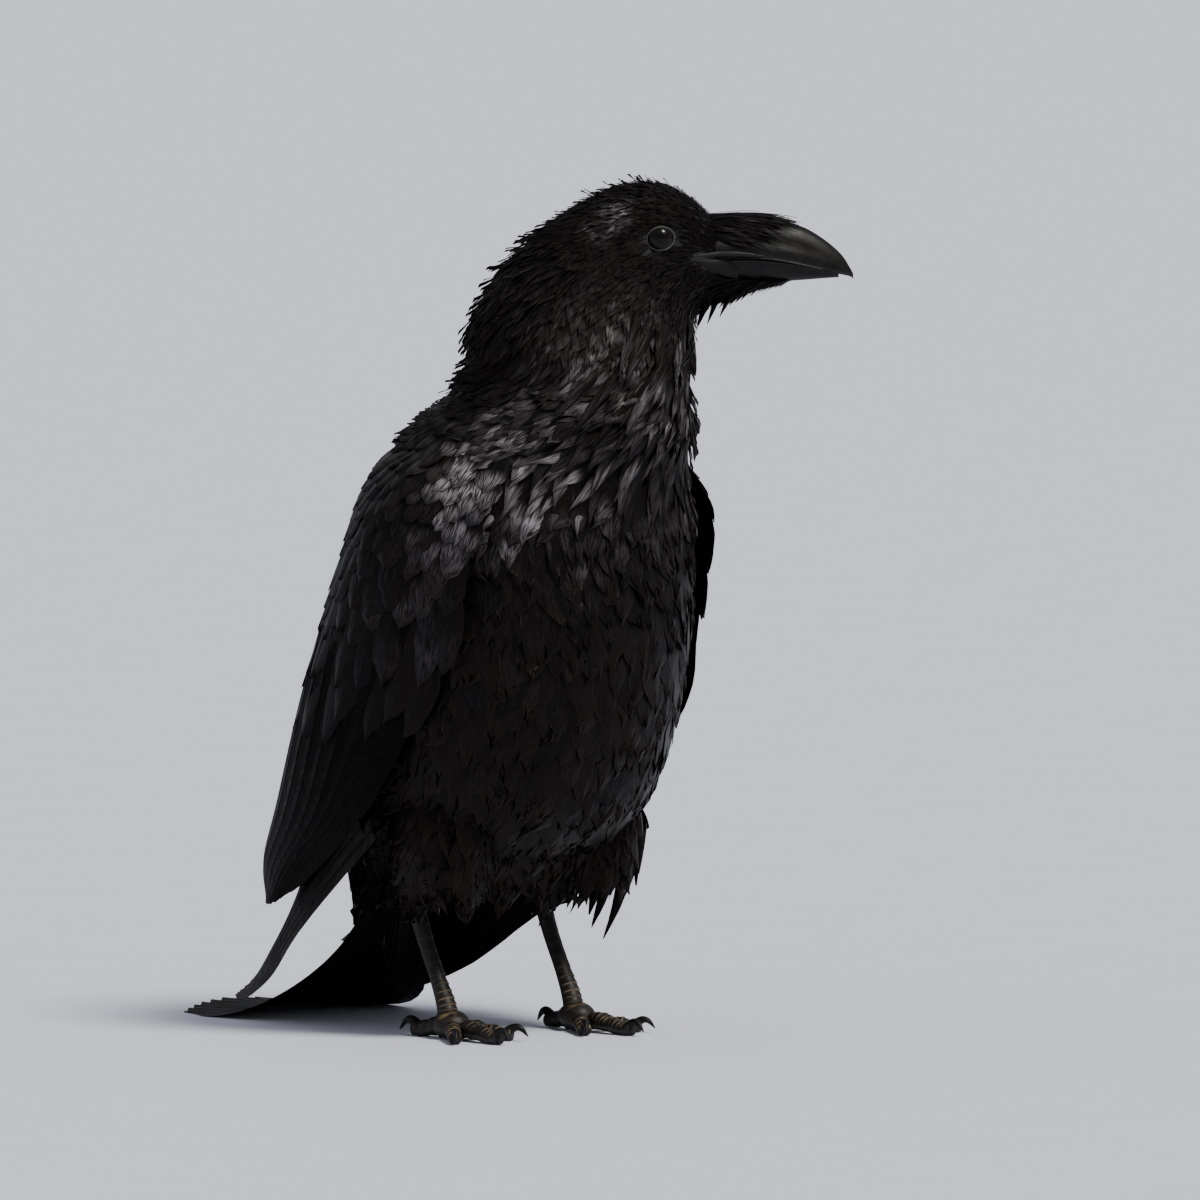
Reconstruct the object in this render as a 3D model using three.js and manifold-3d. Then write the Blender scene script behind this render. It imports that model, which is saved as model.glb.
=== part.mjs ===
// Common raven, life size, standing upright with its head turned to its left.
// Millimetres, +Z up, the body faces -Y and the bird's left side is +X.
import * as THREE from 'three';
import { mergeVertices } from 'three/examples/jsm/utils/BufferGeometryUtils.js';
import Module from 'manifold-3d';

const wasm = await Module();
wasm.setup();

// ---------------------------------------------------------------- named sizes
const RAD = Math.PI / 180;
const GAP = 0.3; // clear distance between neighbouring pieces
const HEAD_YAW = 52; // the head looks this far round to the bird's left
const AROUND = 26; // corners round a section of the body
const HEAD = { yaw: HEAD_YAW, x: -16, y: -20.5 }; // plane that halves the head

// Sections of the body from the bill's root to the vent. Each lies across the
// body from a front point to a back point; u runs along the heading, z is
// height, side is the half width and square the fullness of the corners.
const SECTIONS = {
  forehead: { ...HEAD, front: [99, 357], back: [93.5, 395], side: 13.5 },
  brow: { ...HEAD, front: [92, 352], back: [83, 404], side: 19 },
  eye: { ...HEAD, front: [89, 349], back: [69, 409.5], side: 22.5 },
  crown: { ...HEAD, front: [87, 346], back: [49, 408.5], side: 26 },
  occiput: { ...HEAD, front: [86, 342], back: [25, 397], side: 30.5 },
  nape: { ...HEAD, front: [85.5, 337], back: [3, 380], side: 36 },
  hackle: { ...HEAD, front: [84.5, 330], back: [-13, 360], side: 41 },
  neck: { ...HEAD, yaw: 50, front: [84.5, 320], back: [-22.5, 340], side: 46 },
  collar: { yaw: 42, x: 8.5, y: -39, front: [55, 309], back: [-54, 324], side: 51 },
  scruff: { yaw: 24, x: 6, y: -38, front: [58, 292], back: [-62, 308], side: 58 },
  shoulder: { yaw: 8, x: 2, y: -28, front: [63, 268], back: [-74, 292], side: 67 },
  breast: { yaw: 0, x: 0, y: -13, front: [75, 236], back: [-72, 266], side: 77 },
  chest: { yaw: 0, x: 0, y: -4, front: [84, 194], back: [-76, 232], side: 78 },
  belly: { yaw: 0, x: 0, y: 10, front: [87, 146], back: [-78, 190], side: 78.5 },
  flank: { yaw: 0, x: 0, y: 28, front: [83, 105], back: [-74, 150], side: 74 },
  rump: { yaw: 0, x: 0, y: 48, front: [60, 81], back: [-61, 116], side: 62 },
  vent: { yaw: 0, x: 0, y: 70, front: [28, 71], back: [-38, 90], side: 38 },
  coverts: { yaw: 0, x: 0, y: 88, front: [6, 57], back: [-19, 68], side: 24 },
};
const NAMES = Object.keys(SECTIONS);
const PIECES = {
  head: { from: 'forehead', to: 'hackle', rings: 9 },
  neck: { from: 'hackle', to: 'scruff', rings: 5 },
  trunk: { from: 'scruff', to: 'coverts', rings: 13 },
};
const CUT = 0.012; // share of a section step left open where pieces meet

// Ribs of the right wing from its front edge round the side to its back edge,
// and the thickness there; the left wing is the mirror image.
const WING = [
  { rib: [[-58, -54, 281], [-62, -22, 292], [-47, 8, 296], [-30, 30, 299]], thick: 8 },
  { rib: [[-73, -56, 258], [-86, -14, 264], [-64, 32, 270], [-24, 62, 277]], thick: 14 },
  { rib: [[-79, -47, 226], [-95, 2, 226], [-69, 47, 232], [-16, 82, 240]], thick: 15 },
  { rib: [[-80, -32, 168], [-94, 22, 163], [-80, 64, 166], [-12, 105, 180]], thick: 13 },
  { rib: [[-84, 10, 113], [-88, 50, 110], [-73, 93, 112], [-9, 121, 126]], thick: 9 },
  { rib: [[-78, 60, 82], [-78, 86, 80], [-62, 118, 82], [-14, 132, 92]], thick: 5 },
  { rib: [[-71, 94, 62], [-69, 108, 60], [-56, 123, 62], [-34, 132, 68]], thick: 3 },
];
const PRIMARIES = [
  { rib: [[-78, 40, 90], [-74, 58, 92], [-64, 78, 96], [-44, 98, 102]], thick: 3 },
  { rib: [[-66, 90, 54], [-60, 100, 58], [-48, 110, 62], [-26, 119, 67]], thick: 3 },
  { rib: [[-57, 123, 29], [-52, 130, 33], [-42, 137, 37], [-20, 143, 43]], thick: 2.6 },
  { rib: [[-43, 160, 14], [-38, 164, 17], [-30, 168, 20], [-14, 171, 24]], thick: 2 },
  { rib: [[-24, 198, 8], [-21, 201, 9], [-17, 203, 10], [-12, 203, 11]], thick: 1.4 },
];
const WING_CUT = { normal: [0, -0.22, 0.975], at: [-60, 30, 170] }; // coverts end here

// Tail: a centre line in the Y-Z plane that bends on to the floor.
const TAIL = {
  line: [[95.6, 60.8], [107, 37], [126, 19], [153, 7], [190, 1.4], [233, 1]],
  half: [20, 33, 44, 52, 58, 61],
  base: 5, tip: 2, // thickness at the root and at the end
  wedge: 0.17, // outer feathers end this much sooner
  dish: 3, // height lost from the middle to the edges
};

const BILL = {
  // [u, top z, bottom z, half width] down the bill
  upper: [[98.8, 394, 373.4, 12.4], [112, 393.2, 373.5, 11.4], [125, 391.4, 372.5, 9.9],
    [137, 388.6, 370.2, 8.1], [147.4, 382.6, 367.8, 6.1], [155.5, 375.6, 365.9, 3.7],
    [159.8, 369.2, 364.9, 1.9], [161.4, 366.2, 363.6, 0.7]],
  lower: [[99.6, 373.1, 360.2, 10.8], [112, 373.2, 361.6, 9.9], [125, 372.2, 362.4, 8.3],
    [137, 369.9, 363.1, 6.4], [147, 367.5, 363.9, 4.2], [152.5, 366.2, 364.5, 2.2]],
};
const EYE = { u: 69.2, z: 383.4, radius: 7.4, side: 19.6 };

const LEG = {
  x: 38, // half the distance between the feet
  thigh: [[4, -4, 124, 24], [5, 2, 100, 26], [3, 14, 82, 19], [0, 25, 69, 11], [0, 29.5, 60, 6.2]],
  tarsus: [[0, 30, 63, 4.6], [0, 21, 46, 4.1], [0, 11.5, 29, 4.1], [0, 5.5, 18, 4.8], [0, 3, 14.4, 5.2]],
  foot: { y: 0.5, z: 8, r: [9, 10.5, 8.3] },
};
// Toes: bearing outward from straight ahead, length, radius at root and end,
// and the length of the claw.
const TOES = {
  1: { bearing: 174, long: 25, root: 4.6, end: 3.5, claw: 17 },
  2: { bearing: -31, long: 31, root: 4.3, end: 3.2, claw: 14 },
  3: { bearing: 3, long: 40, root: 4.6, end: 3.2, claw: 14.5 },
  4: { bearing: 34, long: 32, root: 4.1, end: 3.0, claw: 13 },
};

// ------------------------------------------------------------------ materials
const material = (name, color, roughness) => {
  const made = new THREE.MeshStandardMaterial({ color, roughness, metalness: 0 });
  made.name = name;
  return made;
};
const PLUMAGE = material('plumage', 0x121216, 0.55);
const FLIGHT = material('flight_feathers', 0x17161a, 0.45);
const HORN = material('bill_horn', 0x1b1b1d, 0.32);
const LEGS = material('leg_scales', 0x2a2724, 0.6);
const CLAW = material('claw_horn', 0x141414, 0.35);
const EYES = material('eye', 0x120c08, 0.06);

// ------------------------------------------------------------ solids from rings
/** A closed solid over rings of equal length, capped at both ends. */
function ringSolid(rings) {
  const n = rings[0].length;
  const points = rings.flat();
  const faces = [];
  for (let i = 0; i + 1 < rings.length; i += 1) {
    for (let j = 0; j < n; j += 1) {
      const a = i * n + j;
      const b = i * n + ((j + 1) % n);
      faces.push([a, b, b + n], [a, b + n, a + n]);
    }
  }
  const last = (rings.length - 1) * n;
  for (let j = 1; j + 1 < n; j += 1) {
    faces.push([0, j + 1, j], [last, last + j, last + j + 1]);
  }
  return solid(points, faces);
}

/** Manifold of points and triangles, turned right side out. */
function solid(points, faces) {
  let volume = 0;
  for (const [a, b, c] of faces) {
    volume += points[a].dot(new THREE.Vector3().crossVectors(points[b], points[c]));
  }
  const index = faces.flatMap(([a, b, c]) => (volume > 0 ? [a, b, c] : [a, c, b]));
  return new wasm.Manifold(new wasm.Mesh({
    numProp: 3,
    vertProperties: Float32Array.from(points.flatMap((p) => [p.x, p.y, p.z])),
    triVerts: Uint32Array.from(index),
  }));
}

/** The largest closed body of a manifold, without slivers. */
function largest(body) {
  return body.simplify(0.02).decompose().reduce((a, b) => (a.volume() > b.volume() ? a : b));
}

function mesh(name, body, finish) {
  const raw = largest(body).getMesh();
  const geometry = new THREE.BufferGeometry();
  const xyz = new Float32Array((raw.vertProperties.length / raw.numProp) * 3);
  for (let i = 0; i < xyz.length / 3; i += 1) {
    for (let k = 0; k < 3; k += 1) xyz[i * 3 + k] = raw.vertProperties[i * raw.numProp + k];
  }
  geometry.setAttribute('position', new THREE.BufferAttribute(xyz, 3));
  geometry.setIndex(new THREE.BufferAttribute(new Uint32Array(raw.triVerts), 1));
  const made = new THREE.Mesh(mergeVertices(geometry, 2e-3), finish.clone());
  made.material.name = finish.name;
  made.name = name;
  return made;
}

/** Values along a list of equal-length number rows, smooth between them. */
function along(rows, s) {
  const i = Math.min(Math.floor(s), rows.length - 2);
  const t = s - i;
  const row = (k) => rows[Math.max(0, Math.min(rows.length - 1, k))];
  return row(i).map((_, k) => {
    const [p, q, r, w] = [row(i - 1)[k], row(i)[k], row(i + 1)[k], row(i + 2)[k]];
    const a = i > 0 ? (r - p) / 2 : r - q;
    const b = i + 2 < rows.length ? (w - q) / 2 : r - q;
    return q + t * (a + t * (3 * (r - q) - 2 * a - b + t * (a + b - 2 * (r - q))));
  });
}

const steps = (from, to, count) => Array.from({ length: count + 1 },
  (_, i) => from + ((to - from) * i) / count);

// ------------------------------------------------------------------------ body
/** One section of the body at station s, `grow` mm outside the surface. */
function bodyRing(s, grow = 0) {
  const rows = NAMES.map((name) => {
    const { yaw, x, y, front, back, side } = SECTIONS[name];
    return [yaw, x, y, ...front, ...back, side];
  });
  const [yaw, x, y, fu, fz, bu, bz, side] = along(rows, s);
  const ahead = new THREE.Vector3(Math.sin(yaw * RAD), -Math.cos(yaw * RAD), 0);
  const left = new THREE.Vector3(Math.cos(yaw * RAD), Math.sin(yaw * RAD), 0);
  const place = (u, z) => new THREE.Vector3(x, y, z).addScaledVector(ahead, u);
  const [front, back] = [place(fu, fz), place(bu, bz)];
  const centre = front.clone().add(back).multiplyScalar(0.5);
  const arm = front.clone().sub(centre);
  arm.setLength(arm.length() + grow);
  return Array.from({ length: AROUND }, (_, j) => {
    const angle = (j / AROUND) * 2 * Math.PI;
    const round = (v) => Math.sign(v) * Math.abs(v) ** 0.93;
    return centre.clone().addScaledVector(arm, round(Math.cos(angle)))
      .addScaledVector(left, round(Math.sin(angle)) * (side + grow));
  });
}

/** Body between two named sections; the real piece draws back for the gap. */
function bodyPiece(name, grow = 0) {
  const { from, to, rings } = PIECES[name];
  const [a, b] = [NAMES.indexOf(from), NAMES.indexOf(to)];
  const stations = steps(a, b, rings);
  const inset = grow > 0 ? 0 : CUT;
  if (a > 0) stations[0] += inset;
  if (b < NAMES.length - 1) stations[rings] -= inset;
  return ringSolid(stations.map((s) => bodyRing(s, grow)));
}

// ----------------------------------------------------------------------- wings
/** Shell that follows front edge, outer corner and back edge, closed all round. */
function blade(rows, count, across) {
  const flat = rows.map(({ rib, thick }) => [...rib.flat(), thick]);
  const outer = [];
  const depth = [];
  for (const s of steps(0, rows.length - 1, count)) {
    const r = along(flat, s);
    const rib = [0, 3, 6, 9].map((k) => r.slice(k, k + 3));
    outer.push(steps(0, 3, across).map((v) => new THREE.Vector3(...along(rib, v))));
    depth.push(r[12]);
  }
  const rings = outer.map((rib, i) => {
    const before = outer[Math.max(0, i - 1)];
    const after = outer[Math.min(outer.length - 1, i + 1)];
    const inner = rib.map((p, j) => {
      const cross = rib[Math.min(across, j + 1)].clone().sub(rib[Math.max(0, j - 1)]);
      const down = after[j].clone().sub(before[j]);
      const normal = down.cross(cross).normalize();
      const rim = 0.25 + 0.75 * Math.sin((Math.PI * j) / across) ** 0.6;
      return p.clone().addScaledVector(normal, Math.max(0.9, depth[i] * rim));
    });
    return [...rib, ...inner.reverse()];
  });
  return ringSolid(rings);
}

const mirrored = (body) => body.mirror([1, 0, 0]);

function wings(trunk) {
  const full = blade(WING, 12, 8);
  const normal = new THREE.Vector3(...WING_CUT.normal).normalize();
  const level = normal.dot(new THREE.Vector3(...WING_CUT.at));
  const below = normal.clone().negate().toArray();
  const wing = full.trimByPlane(normal.toArray(), level + GAP / 2);
  const secondaries = full.trimByPlane(below, GAP / 2 - level);
  const primaries = blade(PRIMARIES, 8, 4).subtract(grown(WING, 12, 8));
  const made = [];
  for (const [side, turn] of [['right', (b) => b], ['left', mirrored]]) {
    made.push(
      mesh(`wing_${side}`, turn(wing).subtract(trunk), PLUMAGE),
      mesh(`secondaries_${side}`, turn(secondaries).subtract(trunk), FLIGHT),
      mesh(`primaries_${side}`, turn(primaries).subtract(trunk), FLIGHT),
    );
  }
  return made;
}

/** The same shell made thicker by the gap on its inner side. */
function grown(rows, count, across) {
  return blade(rows.map((row) => ({ ...row, thick: row.thick + GAP * 2 })), count, across);
}

// ------------------------------------------------------------------------ tail
function tailSolid() {
  const across = 8;
  const last = TAIL.line.length - 1;
  const line = (s) => along(TAIL.line.map((p, i) => [...p, TAIL.half[i]]), s);
  return ringSolid(steps(0, last, 9).map((s) => {
    const thick = TAIL.base + ((TAIL.tip - TAIL.base) * s) / last;
    const dish = TAIL.dish * Math.sin((Math.PI * s) / last);
    const face = (side) => steps(-1, 1, across).map((v) => {
      const at = s * (1 - TAIL.wedge * v * v);
      const [y, z] = line(at);
      const [nextY, nextZ] = line(at + 0.05);
      const run = new THREE.Vector2(nextY - y, nextZ - z).normalize();
      const lift = (side * thick) / 2 - dish * v * v;
      const lowest = side > 0 ? thick * 0.9 : 0;
      return new THREE.Vector3(v * line(s)[2], y - run.y * lift,
        Math.max(lowest, z + run.x * lift));
    });
    return [...face(1), ...face(-1).reverse()];
  }));
}

// ------------------------------------------------------------------------ bill
function billSolid(rows, upper) {
  const around = 14;
  const ahead = new THREE.Vector3(Math.sin(HEAD_YAW * RAD), -Math.cos(HEAD_YAW * RAD), 0);
  const left = new THREE.Vector3(Math.cos(HEAD_YAW * RAD), Math.sin(HEAD_YAW * RAD), 0);
  const count = (rows.length - 1) * 2;
  return ringSolid(steps(0, rows.length - 1, count).map((s) => {
    const [u, top, bottom, half] = along(rows, s);
    const [rise, fall] = upper ? [top - bottom, 0] : [0, top - bottom];
    const flat = upper ? bottom : top;
    return Array.from({ length: around }, (_, j) => {
      const angle = (j / (around - 1)) * Math.PI;
      const lift = Math.sin(angle) ** 0.9 * (rise - fall);
      return new THREE.Vector3(HEAD.x, HEAD.y, flat + lift)
        .addScaledVector(ahead, u).addScaledVector(left, Math.cos(angle) * half);
    });
  }));
}

function eyeSolid(side, grow = 0) {
  const ahead = new THREE.Vector3(Math.sin(HEAD_YAW * RAD), -Math.cos(HEAD_YAW * RAD), 0);
  const left = new THREE.Vector3(Math.cos(HEAD_YAW * RAD), Math.sin(HEAD_YAW * RAD), 0);
  const at = new THREE.Vector3(HEAD.x, HEAD.y, EYE.z)
    .addScaledVector(ahead, EYE.u).addScaledVector(left, side * EYE.side);
  return wasm.Manifold.sphere(EYE.radius + grow, 16).translate([at.x, at.y, at.z]);
}

// ------------------------------------------------------------------------ legs
/** Tube through [x, y, z, radius] rows with level rings turned to the line. */
function tube(rows, count, around, grow = 0) {
  const at = (s) => new THREE.Vector3(...along(rows, s).slice(0, 3));
  const last = rows.length - 1;
  return ringSolid(steps(0, last, count).map((s) => {
    const run = at(Math.min(last, s + 0.05)).sub(at(Math.max(0, s - 0.05))).normalize();
    const first = new THREE.Vector3(run.y, -run.x, 0);
    if (first.lengthSq() < 1e-6) first.set(1, 0, 0);
    first.normalize();
    const second = new THREE.Vector3().crossVectors(run, first);
    const radius = along(rows, s)[3] + grow;
    return Array.from({ length: around }, (_, j) => {
      const angle = (j / around) * 2 * Math.PI;
      return at(s).addScaledVector(first, Math.cos(angle) * radius)
        .addScaledVector(second, Math.sin(angle) * radius);
    });
  }));
}

const shifted = (rows) => rows.map(([x, y, z, r]) => [LEG.x + x, y, z, r]);

function footSolid(grow = 0) {
  const { y, z, r } = LEG.foot;
  return wasm.Manifold.sphere(1, 12).scale(r.map((v) => v + grow))
    .translate([LEG.x, y, z]).trimByPlane([0, 0, 1], 0);
}

/** Rows of a toe that lies on the floor, with a pad swelling at each joint. */
function toeRows({ bearing, long, root, end }, grow = 0) {
  const [dx, dy] = [Math.sin(bearing * RAD), -Math.cos(bearing * RAD)];
  return steps(0, 1, 8).map((t) => {
    const pad = 1 + 0.09 * Math.cos(t * 6 * Math.PI);
    const radius = (root + (end - root) * t) * pad;
    const reach = 4 + (long - 4) * t;
    const rise = radius * 0.9 + 2.6 * Math.sin(Math.PI * Math.min(1, t * 1.2)) * (1 - t);
    return [LEG.x + dx * reach, LEG.foot.y + dy * reach, rise, radius + grow];
  });
}

/** Claw that leaves the toe's end, arches over and comes down to a point. */
function clawRows({ bearing, long, end, claw }) {
  const [dx, dy] = [Math.sin(bearing * RAD), -Math.cos(bearing * RAD)];
  return steps(0, 1, 6).map((t) => {
    const turn = (22 - 92 * t) * RAD;
    const out = long - 3.4 + claw * (0.16 * t + 0.72 * Math.sin(t * 1.25));
    const z = end * 1.05 + claw * (0.5 * Math.sin(t * Math.PI * 0.62) - 0.62 * t * t) * Math.cos(turn);
    return [LEG.x + dx * out, LEG.foot.y + dy * out, Math.max(0.45, z),
      Math.max(0.45, (end - 0.5) * (1 - t) ** 0.75)];
  });
}

function legs(trunk) {
  const foot = footSolid();
  const tarsus = tube(shifted(LEG.tarsus), 7, 10).subtract(footSolid(GAP));
  const thigh = tube(shifted(LEG.thigh), 7, 14).subtract(trunk);
  const under = tube(shifted(LEG.tarsus), 7, 10, GAP);
  const parts = [['thigh', thigh.subtract(under), PLUMAGE], ['tarsus', tarsus, LEGS],
    ['foot', foot, LEGS]];
  const middle = tube(toeRows(TOES[3], GAP), 10, 8);
  for (const [number, toe] of Object.entries(TOES)) {
    const full = tube(toeRows(toe), 10, 8).subtract(footSolid(GAP));
    const claw = tube(clawRows(toe), 5, 6).subtract(tube(toeRows(toe, GAP), 10, 8));
    parts.push([`toe_${number}`, number === '3' ? full : full.subtract(middle), LEGS]);
    parts.push([`claw_${number}`, claw, CLAW]);
  }
  const made = [];
  for (const [label, body, finish] of parts) {
    const level = body.trimByPlane([0, 0, 1], 0);
    const [base, number] = label.split('_');
    const name = (side) => [base, side, number].filter(Boolean).join('_');
    made.push(mesh(name('left'), level, finish), mesh(name('right'), mirrored(level), finish));
  }
  return made;
}

// -------------------------------------------------------------------- assembly
function raven() {
  const group = new THREE.Group();
  group.name = 'raven';
  const around = Object.keys(PIECES).map((name) => bodyPiece(name, GAP))
    .reduce((a, b) => a.add(b));
  const eyes = { left: 1, right: -1 };
  let head = bodyPiece('head');
  for (const side of Object.values(eyes)) head = head.subtract(eyeSolid(side, GAP));
  group.add(mesh('head', head, PLUMAGE));
  for (const [name, side] of Object.entries(eyes)) {
    group.add(mesh(`eye_${name}`, eyeSolid(side), EYES));
  }
  for (const name of ['neck', 'trunk']) group.add(mesh(name, bodyPiece(name), PLUMAGE));
  group.add(mesh('bill_upper', billSolid(BILL.upper, true), HORN));
  group.add(mesh('bill_lower', billSolid(BILL.lower, false), HORN));
  group.add(mesh('tail', tailSolid(), FLIGHT));
  for (const made of [...wings(around), ...legs(around)]) group.add(made);
  const box = new THREE.Box3().setFromObject(group);
  const middle = box.getCenter(new THREE.Vector3());
  for (const child of group.children) {
    child.geometry.translate(-middle.x, -middle.y, -box.min.z);
  }
  return group;
}

export default raven();
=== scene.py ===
"""Dresses the common raven: one skin, its coat of vanes, quills, bill, eyes and legs.

Lengths are millimetres in the design frame (breast to -Y, the bird's left to +X,
+Z up); `Place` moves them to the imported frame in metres.
"""

import logging
import math
from dataclasses import dataclass, field
from enum import Enum

import bmesh
import bpy
import numpy as np
from mathutils import Matrix, Vector

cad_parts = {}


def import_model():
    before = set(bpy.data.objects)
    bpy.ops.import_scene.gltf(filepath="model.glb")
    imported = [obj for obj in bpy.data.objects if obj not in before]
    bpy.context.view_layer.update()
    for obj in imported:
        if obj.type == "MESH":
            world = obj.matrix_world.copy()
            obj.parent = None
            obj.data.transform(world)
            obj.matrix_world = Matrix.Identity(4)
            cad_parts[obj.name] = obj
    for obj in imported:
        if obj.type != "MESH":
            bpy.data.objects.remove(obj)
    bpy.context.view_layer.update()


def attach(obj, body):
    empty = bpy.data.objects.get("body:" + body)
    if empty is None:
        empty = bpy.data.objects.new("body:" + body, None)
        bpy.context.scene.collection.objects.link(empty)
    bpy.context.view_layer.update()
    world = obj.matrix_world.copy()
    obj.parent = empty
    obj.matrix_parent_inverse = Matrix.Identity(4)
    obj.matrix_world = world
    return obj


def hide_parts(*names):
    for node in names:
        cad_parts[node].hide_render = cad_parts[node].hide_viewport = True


log = logging.getLogger("raven")
Array = np.ndarray
Chance = np.random.Generator
Material = bpy.types.Material
Object = bpy.types.Object
Laid = tuple[dict[str, Array], Array]  # a batch of vanes and its roots on the unwrap
BAKE_UV = "OFBake"
PATCH = 0.003  # width of a vane's patch on the bake map
SEED = 20
TURN = 2 * np.pi
UP = np.array([0.0, 0.0, 1.0])
HEAD_YAW = 52.0  # degrees that the head turns to the bird's left
HEAD_FOOT = np.array([-16.0, -20.5, 0.0])  # where the head's line starts, on the floor
ORIGIN = np.array([8.348, 56.269, 0.0])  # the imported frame's origin in the design


class Side(Enum):
    """The bird's own sides; the value is the sign of X."""

    LEFT = 1
    RIGHT = -1

    @property
    def word(self) -> str:
        """The side as it is written in names."""
        return self.name.lower()


# ------------------------------------------------------------------ small tools


def linear(hex_colour: str) -> tuple[float, float, float, float]:
    """Turns an sRGB hex colour to linear light.

    Args:
        hex_colour: Six hex digits, such as "0d0d10".

    Returns:
        Red, green, blue and 1; below 0.04045 c/12.92, else ((c+0.055)/1.055)^2.4.
    """
    parts = [int(hex_colour[i : i + 2], 16) / 255 for i in (0, 2, 4)]
    lit = [c / 12.92 if c <= 0.04045 else ((c + 0.055) / 1.055) ** 2.4 for c in parts]
    return (lit[0], lit[1], lit[2], 1.0)


def along(rows: Array, s: Array) -> Array:
    """Values along a table of rows, smooth between them and straight past the ends.

    Between rows q and r, with t the share of the step, the value is the cubic
    q + t(a + t(3(r-q) - 2a - b + t(a + b - 2(r-q)))), a and b being half the
    difference of the rows on either side.

    Args:
        rows: Table of n rows by k values.
        s: Stations, counted in rows.

    Returns:
        Array of the shape of s with k values last.
    """
    rows = np.asarray(rows, float)
    s = np.asarray(s, float)
    last = len(rows) - 1
    inner = np.clip(s, 0.0, last)
    i = np.minimum(np.floor(inner).astype(int), last - 1)
    t = (inner - i)[..., None]
    q, r = rows[i], rows[i + 1]
    a = np.where((i > 0)[..., None], (r - rows[np.maximum(i - 1, 0)]) / 2, r - q)
    b = np.where((i + 2 <= last)[..., None], (rows[np.minimum(i + 2, last)] - q) / 2, r - q)
    value = q + t * (a + t * (3 * (r - q) - 2 * a - b + t * (a + b - 2 * (r - q))))
    past = (s - inner)[..., None]
    end_slope = np.where(past > 0, rows[-1] - rows[-2], rows[1] - rows[0])
    return value + past * end_slope


def smooth(x: Array) -> Array:
    """The smooth step 3x^2 - 2x^3 of x held between 0 and 1."""
    x = np.clip(x, 0.0, 1.0)
    return x * x * (3 - 2 * x)


def bell(x: Array, middle: float, reach: float) -> Array:
    """A bell of height 1 at `middle`, exp(-((x - middle) / reach)^2)."""
    return np.exp(-(((x - middle) / reach) ** 2))


def unit(v: Array) -> Array:
    """Vectors scaled to length 1."""
    return v / np.maximum(np.linalg.norm(v, axis=-1, keepdims=True), 1e-9)


def shares(steps: int) -> Array:
    """One row of shares from 0 to 1 in even steps."""
    return np.linspace(0, 1, steps + 1)[None, :]


def stations(last: float, rings: int, first: float = 0.0) -> Array:
    """One column of even stations from `first` to `last`."""
    return np.linspace(first, last, rings)[:, None]


def around(count: int) -> Array:
    """One row of `count` even angles round a ring."""
    return (np.arange(count) * TURN / count)[None, :]


def packed(*values: Array) -> Array:
    """Values brought to one shape and stacked last."""
    return np.stack(np.broadcast_arrays(*values), -1)


def head_axes() -> tuple[Array, Array]:
    """Level directions ahead of the turned head and to its left.

    Returns:
        Both directions.
    """
    yaw = math.radians(HEAD_YAW)
    return (np.array([math.sin(yaw), -math.cos(yaw), 0.0]),
            np.array([math.cos(yaw), math.sin(yaw), 0.0]))


def head_place(reach: Array | float, side: Array | float, height: Array | float) -> Array:
    """Places `reach` ahead, `side` to the left and `height` up along the head's line.

    Args:
        reach: Millimetres ahead.
        side: Millimetres to the left.
        height: Millimetres up.

    Returns:
        Points in design millimetres.
    """
    ahead, left = head_axes()
    place = packed(*(np.asarray(v, float) for v in (reach, side, height)))
    return HEAD_FOOT + ahead * place[..., :1] + left * place[..., 1:2] + UP * place[..., 2:]


def grid_faces(rows: int, columns: int, batch: int = 1, wrap: bool = False) -> Array:
    """Quads of `batch` grids of rows by columns points, each stored row by row.

    Args:
        rows: Points along.
        columns: Points across.
        batch: Number of grids one after the other.
        wrap: Whether the last column joins the first.

    Returns:
        Integer array of quads.
    """
    j = np.arange(columns if wrap else columns - 1)
    k = (j + 1) % columns
    i = np.arange(rows - 1)[:, None] * columns
    one = np.stack([i + j, i + k, i + columns + k, i + columns + j], axis=-1).reshape(-1, 4)
    return (one[None] + (np.arange(batch) * rows * columns)[:, None, None]).reshape(-1, 4)


@dataclass
class Place:
    """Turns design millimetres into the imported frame's metres."""

    offset: Array

    def metres(self, points: Array) -> Array:
        """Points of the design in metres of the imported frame."""
        return (np.asarray(points, float) - self.offset) * 0.001


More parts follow.
